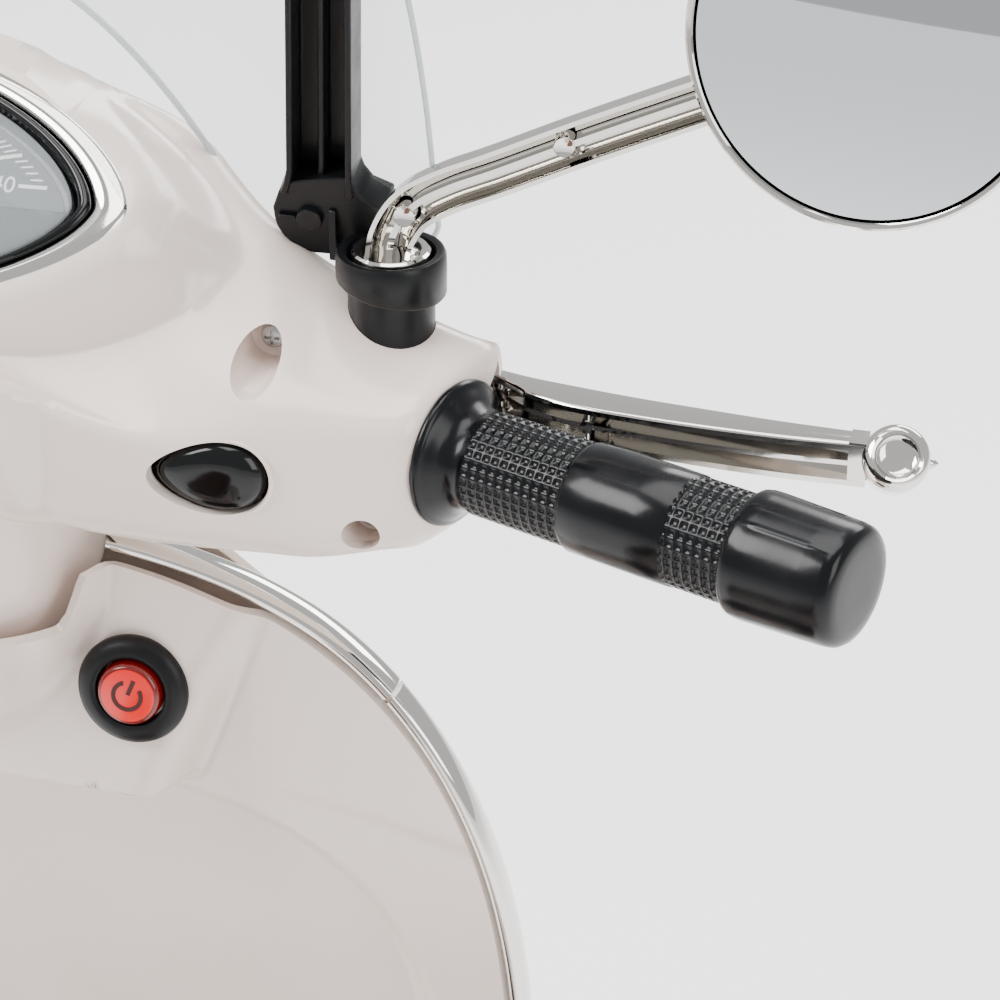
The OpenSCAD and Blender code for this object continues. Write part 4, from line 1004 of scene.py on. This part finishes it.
def recessAt(x, z):
    w = 141 - 50 * np.clip((420 - z) / 250, 0, 1) ** 2
    f = np.abs(x / w) ** 3.6 + (np.maximum(z - 400, 0) / 116) ** 3.6
    return 5 * ease((1.03 - f) / 0.2) * ease((z - 178) / 8)


def innerY(x, z):
    return shieldY(x, z) - raiseAt(x, z) + recessAt(x, z)


def makeShield():
    xs = np.concatenate([np.linspace(0.5, 56, 62), np.linspace(56.6, 100, 70),
                         100.6 + 61.1 * np.sin(np.linspace(0, np.pi / 2, 54))])
    x = np.concatenate([-xs[::-1], xs])[:, None]
    t = np.concatenate([np.linspace(0, 0.7, 36), np.linspace(0.706, 1, 88)])[None]
    top = np.minimum(shieldHigh(x), 577 + 40 * ease((np.abs(x) - 40) / 16))
    z = shieldLow(x) * (1 - t) + top * t
    y = innerY(x, z)
    verts, faces = wallFrom(np.stack([x + 0 * z, y, z], -1), shield["wall"])
    makePiece("legShieldInnerPanel", verts, faces, ivoryAbs, "chassis", "ivory_abs",
              ["leg_shield_inner"], bevel=0.6)
    x = ((shield["w"] - 3) * np.sin(np.radians(np.linspace(-84, 84, 141))))[:, None]
    t = np.linspace(0, 1, 70)[None]
    low = np.maximum(shieldLow(x), 312 - 136 * ease((np.abs(x) - 66) / 44))
    high = shieldHigh(x) - 5 * ease((80 - np.abs(x)) / 30) - 1
    z = low * (1 - t) + high * t
    axisY = column["y"] - (z - column["z"]) * math.tan(column["rake"])
    spine = axisY + 56 - shieldY(0, z)
    puff = ease((shield["w"] - np.abs(x)) / 26) * ease((shieldHigh(x) - z) / 26)
    y = shieldY(x, z) + 7 + 6 * puff + (spine - 13) * bumpOf(x, 72, 2.2)
    verts, faces = wallFrom(np.stack([x + 0 * z, y, z], -1), -shield["wall"])
    makePiece("legShieldFrontPanel", verts, faces, ivoryAbs, "chassis", "ivory_abs",
              ["leg_shield_front"], bevel=0.6)


print("leg shield")
makeShield()


def edgePoint(q):  # place on the shield's outline, q degrees round from the top centre
    x = np.minimum(shield["w"] * np.sin(np.radians(q)), shield["w"] - 0.4)
    up = q < 90
    z = np.where(up, shieldHigh(x), shieldLow(x))
    return np.stack([x + 4 * ease((x - 50) / 90), shieldY(x, z) + 3,
                     z + np.where(up, 4 * ease((shield["w"] - x) / 60), 0)], -1)


def makeTrim(name, q0, q1, node):
    shapes = []
    q = np.linspace(q0, q1, 160)
    path = edgePoint(q)
    # even the spacing so that the bead bends smoothly past the widest point
    gaps = np.linalg.norm(np.diff(path, axis=0), axis=1)
    run = np.concatenate([[0], np.cumsum(gaps)])
    even = np.linspace(0, run[-1], 140)
    path = np.stack([np.interp(even, run, path[:, k]) for k in range(3)], -1)
    for _ in range(6):
        path[1:-1] = 0.25 * path[:-2] + 0.5 * path[1:-1] + 0.25 * path[2:]
    turn = np.radians(np.linspace(0, 360, 28, endpoint=False))
    profile = np.stack([5.2 * np.cos(turn), 2.8 * bow(np.sin(turn), 2.3)], -1)
    tang, side, top = frameAlong(path, np.array([0, 1.0, 0]))
    across = np.cross(tang, [0, 1.0, 0])
    across /= np.linalg.norm(across, axis=1, keepdims=True)
    for m in (1, -1):
        rings = (path[:, None] + np.array([0, 1.0, 0]) * profile[None, :, :1]
                 + across[:, None] * profile[None, :, 1:])
        v, f = tubeFrom(rings)
        shapes.append((mirrorX(v) if m < 0 else v, f))
    v, f = joinShapes(shapes)
    makePiece(name, v, f, platedAbs, "chassis", "chrome_plastic", [node], sharp=50)


print("beading")
makeTrim("edgeBeadingUpper", 17.5, 51, "trim_upper")
makeTrim("edgeBeadingLower", 51.5, 128, "trim_lower")


# ---- power switch ----
def makeSwitch():
    at = np.array([58.0, float(innerY(58, 558)) - 1, 558.0])
    out = np.array([0, -math.sin(math.radians(81)), math.cos(math.radians(81))])
    bezel = np.array([(-12, 10.4), (-12, 10.8), (0, 10.8), (0, 15.5), (1.4, 15.7), (2.6, 15.2),
                      (3.9, 13.4), (4.4, 11.6), (4.5, 10.6), (4.1, 9.9), (3.0, 9.55), (-12, 9.5)])
    rings = spun(bezel, at, out, 96)
    v, f = tubeFrom(np.concatenate([rings, rings[:1]]), capped=False)
    makePiece("switchBezelRing", v, f, blackAbs, "chassis", "black_abs", ["switch_bezel"])
    cap = np.array([(-7, 0.05), (-7, 9.0), (4.0, 9.0), (5.2, 8.8), (6.0, 8.3), (6.3, 7.7),
                    (6.1, 7.5), (6.0, 0.05)])
    v, f = tubeFrom(spun(cap[:6], at, out, 96))
    makePiece("powerButtonSkirt", v, f, switchRim, "power", "switch_red", ["power_button"])
    # front of the button, in the switch red with its faint painted glow
    face = np.array([(6.2, 7.6), (6.5, 7.5), (6.62, 7.1), (6.65, 0.05)])
    v, f = tubeFrom(spun(np.concatenate([[(5.0, 7.6)], face]), at, out, 96))
    makePiece("powerButtonFace", v, f, switchRedPaintedGlow, "power", "switch_red")
    # power sign: open ring and bar
    side = np.array([1.0, 0, 0])
    up = np.cross(out, side)
    lean = math.radians(-22)
    shapes = []
    turn = np.radians(np.linspace(90 + 38, 90 + 322, 60)) + lean
    inner, outer = 3.3, 4.5
    band = [np.stack([r * np.cos(turn), r * np.sin(turn)], -1) for r in (inner, outer)]
    outline = np.concatenate([band[0], band[1][::-1]])
    bar = np.array([(-0.6, 0.4), (0.6, 0.4), (0.6, 5.0), (-0.6, 5.0)])
    rot = np.array([[math.cos(lean), math.sin(lean)], [-math.sin(lean), math.cos(lean)]])
    n = len(turn)
    for k, flat in enumerate((outline, bar @ rot)):
        low = at + flat[:, :1] * side + flat[:, 1:] * up + out * 6.6
        high = low + out * 0.16
        v = np.concatenate([low, high])
        c = len(flat)
        faces = [[i, (i + 1) % c, (i + 1) % c + c, i + c] for i in range(c)]
        if k == 0:
            faces += [[i, i + 1, c - 2 - i, c - 1 - i] for i in range(n - 1)]
            faces += [[i + c, i + 1 + c, c - 2 - i + c, c - 1 - i + c] for i in range(n - 1)]
        else:
            faces += [[0, 1, 2, 3], [4, 5, 6, 7]]
        shapes.append((v, faces))
    v, f = joinShapes(shapes)
    makePiece("powerButtonSign", v, f, symbolInk, "power", "switch_red")


print("switch")
makeSwitch()

# ---- shroud round the steering neck, up into the housing ----
def makeNeckShroud():
    line = np.array([(0, 30), (0, 37.6), (0.8, 38.6), (5, 40.6), (12, 42.3), (20, 43), (30, 42.6),
                     (45, 41.6), (61, 40.6), (61, 37.8), (30, 39.6), (20, 39.9), (8, 38), (3.6, 36.5),
                     (3.6, 30)])
    rings = spun(line, onColumn(-80), columnUp, 96)
    v, f = tubeFrom(np.concatenate([rings, rings[:1]]), capped=False)
    makePiece("neckShroud", v, f, ivoryAbs, "steering", "ivory_abs", ["neck_cover"])


makeNeckShroud()


# ---- headlamp: plated rim, fluted lens, reflector bowl and bulb ----
def makeHeadlamp():
    at, out = (0, 250, 655), (0, 1, 0)
    rim = np.array([(0, 33), (0, 39.2), (11.6, 39.4), (12.6, 43.2), (14, 44.3), (16, 44.7),
                    (18.4, 44.2), (20.4, 42.8), (21.7, 40.6), (22, 38.4), (21.4, 36), (20, 34.2),
                    (18, 33.1), (15, 33)])
    rings = spun(rim, at, out, 120)
    v, f = tubeFrom(np.concatenate([rings, rings[:1]]), capped=False)
    makePiece("headlampRim", v, f, platedAbs, "steering", "chrome_plastic", ["headlamp_rim"])
    # lens: domed disc whose height falls with radius, with upright flutes on its front
    rho = np.concatenate([np.linspace(0.05, 32.7, 60), np.linspace(32.7, 0.05, 30)])[:, None]
    turn = np.linspace(0, 2 * np.pi, 160, endpoint=False)[None]
    dome = 22 - 6.2 * (rho / 32.7) ** 2
    back = np.concatenate([np.zeros(60), np.full(30, 2.6)])[:, None]
    flute = 0.3 * np.cos(2 * np.pi * rho * np.cos(turn) / 4.4) * ease((31.5 - rho) / 2) * (back == 0)
    y = at[1] + dome - back + flute - 0.3
    rings = np.stack([rho * np.cos(turn), y, at[2] + rho * np.sin(turn)], -1)
    v, f = tubeFrom(rings)
    makePiece("headlampLens", v, f, clearAcrylic, "steering", "clear_acrylic", ["headlamp_lens"])
    bowl = np.array([(-9, 5), (-8, 9), (-5, 15), (0, 21.5), (6, 27.2), (12.4, 32.4), (12.4, 32.9),
                     (5, 28.2), (-1, 22.4), (-6.4, 15.4), (-9.6, 9), (-10.4, 5)])
    rings = spun(bowl, at, out, 96)
    v, f = tubeFrom(np.concatenate([rings, rings[:1]]), capped=False)
    makePiece("headlampReflector", v, f, platedAbs, "steering", "chrome_plastic")
    bulb = np.array([(-9.6, 0.05), (-9.6, 4.9), (-2, 4.9), (-1, 3.6), (0, 3.4), (3, 4.4), (6, 4.8),
                     (9, 4.0), (11, 2.2), (11.6, 0.05)])
    v, f = tubeFrom(spun(bulb, at, out, 40))
    makePiece("headlampBulb", v, f, naturalNylon, "steering", "clear_acrylic")


print("headlamp")
makeHeadlamp()


# ---- front mudguard: squarish arch over the wheel with a rolled edge ----
def makeMudguard():
    a = np.radians(np.linspace(29, 141, 110))[:, None]
    b = np.radians(np.linspace(-90, 90, 61))[None]
    r = 112 + 24 * bow(np.cos(b), 3.4) - 4 * ease((np.abs(np.degrees(a) - 85) - 50) / 6)
    x = 39 * bow(np.sin(b), 3.4) + 0 * a
    grid = np.stack([x, 412 + r * np.cos(a), 120 + r * np.sin(a)], -1)
    shapes = [wallFrom(grid, 2.4)]
    turn = np.linspace(0, 2 * np.pi, 14, endpoint=False)[None, :, None]
    for edge in (grid[:, 1], grid[:, -2]):
        out = (edge - np.array([0, 412, 120])) * np.array([0, 1, 1])
        out /= np.linalg.norm(out, axis=1, keepdims=True)
        rings = (edge[:, None] + out[:, None] * 2.0 * np.cos(turn)
                 + np.array([1.0, 0, 0]) * 1.5 * np.sin(turn))
        shapes.append(tubeFrom(rings))
    v, f = joinShapes(shapes)
    makePiece("frontMudguardShell", v, f, ivoryAbs, "steering", "ivory_abs", ["front_mudguard"])


print("mudguard")
makeMudguard()

# ---- wheels ----
tread = {"radius": 120.0, "half": 31.0, "blocks": 44, "depth": 2.0}


def makeTyre(name, y, body, node):
    wall = smoothLine([(23.9, 82.7, 0), (27.6, 87.5, 0), (30.6, 96, 0), (30.8, 103, 0), (28.6, 110.5, 0),
                       (23.6, 115.8, 0), (17, 118.8, 0), (8, 119.9, 0), (0, 120, 0)], 60)[:, :2]
    line = np.concatenate([wall, wall[-2::-1] * np.array([-1, 1])])
    line = np.concatenate([[(23.9, 80)], line, [(-23.9, 80)]])

    def blocks(along, turn):  # three grooves round the tread, skewed cuts across its shoulders
        rim = ease((120 - 6.5 - np.abs(along) * 0.12 - 100) / 8) * (np.abs(along) < 27)
        round3 = sum(bumpOf(along - k, 1.4, 4) for k in (-11, 0, 11))
        step = np.abs((turn * tread["blocks"] / (2 * np.pi) + np.abs(along) / 30) % 1 - 0.5) * 2
        cross = ease((step - 0.78) / 0.12) * ease((np.abs(along) - 12) / 1.5) * ease(
            (26 - np.abs(along)) / 3)
        ridge = 0.35 * bumpOf(np.abs(along) - 29.6, 0.7, 2)
        return -tread["depth"] * np.maximum(np.clip(round3, 0, 1), cross) * rim + ridge

    rings = spun(line, (0, y, 120), (1, 0, 0), 352, blocks)
    v, f = tubeFrom(np.concatenate([rings, rings[:1]]), capped=False)
    makePiece(name, v, f, tyreRubber, body, "tyre", [node], sharp=44)


def makeRim(name, y, bore, body, node):
    half = [(33, bore), (33, 15.4), (32.2, 16.6), (30, 17), (18, 17), (13, 19), (9.6, 24), (7, 31),
            (6, 38), (5.4, 50), (5.4, 62), (6.4, 66), (12, 69), (20, 71), (24, 73.5), (26.4, 78),
            (27, 81.4), (26, 82), (24.2, 82), (24, 79.8)]
    line = np.array([(-x, r) for x, r in half] + [(x, r) for x, r in half[::-1]])
    rings = spun(line, (0, y, 120), (1, 0, 0), 120)
    v, f = tubeFrom(np.concatenate([rings, rings[:1]]), capped=False)
    piece = makePiece(name, v, f, rimPaint, body, "rim", [node], bevel=0.7)
    cuts = []
    for k in range(5):
        a = math.radians(72 * k + 36)
        cy, cz = y + 49 * math.cos(a), 120 + 49 * math.sin(a)
        cuts.append(rodSolid((-20, cy, cz), (20, cy, cz), 11.5, 48))
    mods = list(piece.modifiers)
    for mod in mods:
        mod.show_viewport = mod.show_render = False
    cutOut(piece, cuts)
    for mod in piece.modifiers:
        mod.show_viewport = mod.show_render = True


print("wheels")
makeTyre("frontTyreTread", 412, "front_wheel", "front_tyre")
makeTyre("rearTyreTread", -352, "rear_wheel", "rear_tyre")
makeRim("frontWheelRim", 412, 6.05, "front_wheel", "front_rim")
makeRim("rearWheelRim", -352, 6.0, "rear_wheel", "rear_rim")


# ---- tail body and side cowls ----
def makeTail():
    front = [(0.05, 6, 0), (0.6, 6, 0), (0.96, 4, 0), (0.99, 1.6, 0)]
    t = np.sin(np.linspace(0, np.pi / 2, 90))
    k = np.concatenate([[p[0] for p in front], np.ones(90)])[:, None]
    push = np.concatenate([[p[1] for p in front], np.zeros(90)])[:, None]
    t = np.concatenate([np.zeros(len(front)), t])[:, None]
    a = np.radians(np.linspace(-12, 192, 121))[None]
    w = 92 * np.sqrt(np.maximum(1 - t ** 3.2, 0.0009))
    h = 96 + 116 * np.sqrt(np.maximum(1 - t ** 4, 0.0009)) - 30 * t
    x = w * bow(np.cos(a), 3.2) * k
    z = 204 + 34 * t + (h - 34 * t) * bow(np.sin(a), 3.0)
    z = 130 * (1 - k) + z * k  # the front wall closes down to the lower edge
    grid = np.stack([x, -36 - 492 * t + push + 0 * a, z], -1)
    v, f = wallFrom(grid, -2.6)
    piece = makePiece("tailBodyShell", v, f, ivoryAbs, "chassis", "ivory_abs", ["tail_body"])
    hatch = [np.array([(x, y, z) for x, y in [(-45, -250), (45, -250), (45, -100), (-45, -100)]],
                      float) for z in (380, 440)]
    cutOut(piece, [prism(*hatch)])


def tailHalf(y, z):  # half width of the tail body at a place along it and a height
    t = np.clip((-36 - y) / 492, 0, 1)
    w = 92 * np.sqrt(np.maximum(1 - t ** 3.2, 0.0009))
    h = 96 + 116 * np.sqrt(np.maximum(1 - t ** 4, 0.0009)) - 64 * t
    s = np.clip(np.abs(z - 204 - 34 * t) / h, 0, 1)
    return w * (1 - s ** 3) ** 0.3125


def makeCowl(name, m, node):
    u = np.sin(np.radians(np.linspace(-90, 90, 61)))[:, None]
    v = np.sin(np.radians(np.linspace(-90, 90, 53)))[None]
    p = u * np.sqrt(1 - v * v / 2)
    q = v * np.sqrt(1 - u * u / 2)
    r = np.minimum(p * p + q * q, 1)
    y = -300 + 168 * p
    z = 252 + 88 * q + 26 * p * p * np.where(p < 0, 1, -0.4)
    x = 95.8 + 52.6 * np.sqrt(np.maximum(1 - r ** 1.3, 0))
    x = x - (92 - tailHalf(y, z)) * r ** 3  # the rim lies down on the tail body
    # three low ribs moulded along the side
    for k in (-14, 0, 14):
        x = x + 1.3 * bumpOf(z - 252 - k, 3.2, 4) * bumpOf(y + 300, 62, 10)
    grid = np.stack([x, y, z], -1)
    verts, faces = wallFrom(grid, 2.6)
    verts = mirrorX(verts) if m < 0 else verts
    makePiece(name, verts, faces, ivoryAbs, "chassis", "ivory_abs", [node])


print("tail and cowls")
makeTail()
makeCowl("sideCowlRight", 1, "cowl_right")
makeCowl("sideCowlLeft", -1, "cowl_left")

# ---- seat: foam pad under vinyl, sewn across in channels, piped round its foot ----
saddle = {"half": 91.5, "length": 192.0, "middle": -236.0, "z": 449.0, "rise": 18.5,
          "floor": 430.3, "swell": 7.0, "channels": 8, "depth": 2.0}


def saddleRings(rows, columns):
    # superellipse across, narrowing to the nose; rises a little towards the back
    t = np.linspace(-1, 1, rows)[:, None]
    a = np.linspace(0, 2 * np.pi, columns, endpoint=False)[None]
    e = np.maximum(np.cos(t * np.pi / 2), 0.02)
    wide = saddle["half"] * (0.62 + 0.38 * ease((0.4 - t) / 0.9)) * e ** 0.45
    x = wide * bow(np.cos(a), 3.4)
    y = saddle["middle"] + saddle["length"] * np.sin(t * np.pi / 2) + 0 * a
    middle = saddle["z"] - 9 * t * t + 10 * ease(-t - 0.1)
    up = bow(np.sin(a), 3.2)
    z = middle + np.where(up > 0, saddle["rise"] * e ** 0.35, middle - saddle["floor"]) * up
    return np.stack([x, y, z], -1)


def pointsOf(mesh):
    flat = np.empty(len(mesh.vertices) * 3)
    mesh.vertices.foreach_get("co", flat)
    return flat.reshape(-1, 3) * 1000


def baked(obj):  # the object's mesh with its modifiers applied
    return bpy.data.meshes.new_from_object(obj.evaluated_get(bpy.context.evaluated_depsgraph_get()))


def makeSaddle():
    v, f = tubeFrom(saddleRings(72, 96))
    form = makePiece("seatPad", v, f, seatVinyl, "seat", "seat_vinyl", ["seat_cushion"], sharp=80)
    mod = form.modifiers.new("even", "REMESH")
    mod.mode = "VOXEL"
    mod.voxel_size = 5 * mm
    shape = baked(form)
    form.modifiers.clear()
    form.data = shape
    before = pointsOf(shape)
    cloth = form.modifiers.new("swell", "CLOTH")
    cloth.settings.quality = 6
    cloth.settings.use_pressure = True
    cloth.settings.uniform_pressure_force = 4.0
    cloth.settings.effector_weights.gravity = 0.0
    cloth.point_cache.frame_start = 1
    cloth.point_cache.frame_end = 20
    for step in range(1, 21):
        bpy.context.scene.frame_set(step)
    after = pointsOf(baked(form))
    form.modifiers.clear()
    bpy.context.scene.frame_set(1)
    move = after - before
    size = np.linalg.norm(move, axis=1, keepdims=True)
    move *= np.minimum(saddle["swell"], size) / np.maximum(size, 1e-6)
    move *= ease((before[:, 2:] - saddle["floor"]) / 8)
    shape.vertices.foreach_set("co", ((before + move) * mm).ravel())
    shape.update()
    mod = form.modifiers.new("fine", "SUBSURF")
    mod.levels = mod.render_levels = 1
    fine = baked(form)
    form.modifiers.clear()
    form.data = fine
    pts = pointsOf(fine)
    # sewn channels across the top, fading at the rolled edge
    top = ease((pts[:, 2] - 448) / 14)
    gap = 36.0
    phase = np.abs((pts[:, 1] / gap) % 1 - 0.5) * gap
    inside = ease((150 - np.abs(pts[:, 1] + 240)) / 12)
    pts[:, 2] -= saddle["depth"] * bumpOf(phase, 3.0, 1.6) * top * inside
    fine.vertices.foreach_set("co", (pts * mm).ravel())
    fine.shade_smooth()
    fine.materials.clear()
    fine.materials.append(seatVinyl)
    # piping follows the pad's foot: farthest point of the pad in each direction
    low = pts[(pts[:, 2] > 433) & (pts[:, 2] < 441)]
    dx, dy = low[:, 0], (low[:, 1] - saddle["middle"]) * 0.5
    turn = np.linspace(-np.pi, np.pi, 121)[:-1]
    where = np.arctan2(dy, dx)
    reach = np.hypot(dx, dy)
    far = np.array([reach[np.abs((where - t + np.pi) % (2 * np.pi) - np.pi) < 0.05].max()
                    for t in turn])
    far = (np.roll(far, 1) + 2 * far + np.roll(far, -1)) / 4
    line = np.stack([far * np.cos(turn), saddle["middle"] + 2 * far * np.sin(turn),
                     np.full(len(turn), 435.5)], -1)
    tang = np.roll(line, -1, 0) - np.roll(line, 1, 0)
    tang /= np.linalg.norm(tang, axis=1, keepdims=True)
    side = np.cross(tang, [0, 0, 1.0])
    a = np.linspace(0, 2 * np.pi, 14, endpoint=False)[None, :, None]
    rings = line[:, None] + side[:, None] * 2.3 * np.cos(a) + np.array([0, 0, 2.3]) * np.sin(a)
    v, f = tubeFrom(np.concatenate([rings, rings[:1]]), capped=False)
    makePiece("seatPiping", v, f, pipingVinyl, "seat", "seat_vinyl")


print("seat")
makeSaddle()

# ---- remaining moulded, turned and welded parts: the frame's own shapes with broken edges ----
finished = {"frame": 0, "steering_bushes": 0.4, "floor_tray": 1.6, "floor_mat": 0.7,
            "tail_lamp": 1.6, "plate_holder": 0.8, "battery": 1.8, "gearbox_case": 0.7,
            "motor": 0.8, "rear_axle": 0.5, "stabiliser_brackets": 0.4, "seat_hinge_pin": 0.5,
            "pedal_housing": 1.0, "steering_stem": 0, "handlebar_tube": 0,
            "fork": 0.4, "front_axle": 0.5, "drive_gear": 0.2, "stabiliser_wheel_right": 0.9,
            "stabiliser_wheel_left": 0.9, "seat_base": 0.9, "pedal": 0.5, "motor_pinion": 0.15}
bodyOfNode = {node: body for body, nodes in frame["record"]["behaviour"]["bodies"].items()
              for node in nodes}


def softened(node, width):
    mesh = frame["nodes"][node].data.copy()
    bm = bmesh.new()
    bm.from_mesh(mesh)
    bmesh.ops.remove_doubles(bm, verts=bm.verts, dist=1e-5)
    bmesh.ops.dissolve_limit(bm, angle_limit=math.radians(0.5), verts=bm.verts, edges=bm.edges)
    bm.to_mesh(mesh)
    bm.free()
    mesh.materials.clear()
    mesh.materials.append(slotLooks[slotOfNode[node]])
    mesh.shade_smooth()
    mesh.set_sharp_from_angle(angle=math.radians(32))
    words = node.split("_")
    piece = bpy.data.objects.new(words[0] + "".join(w.title() for w in words[1:]) + "Part", mesh)
    bpy.context.scene.collection.objects.link(piece)
    if width:
        mod = piece.modifiers.new("brokenEdge", "BEVEL")
        mod.width = width * mm
        mod.segments = 2
        mod.limit_method = "ANGLE"
        mod.angle_limit = math.radians(40)
        mod.harden_normals = False
    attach(piece, bodyOfNode[node])
    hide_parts(node)


print("mechanical parts")
for nodeName, width in finished.items():
    softened(nodeName, width)
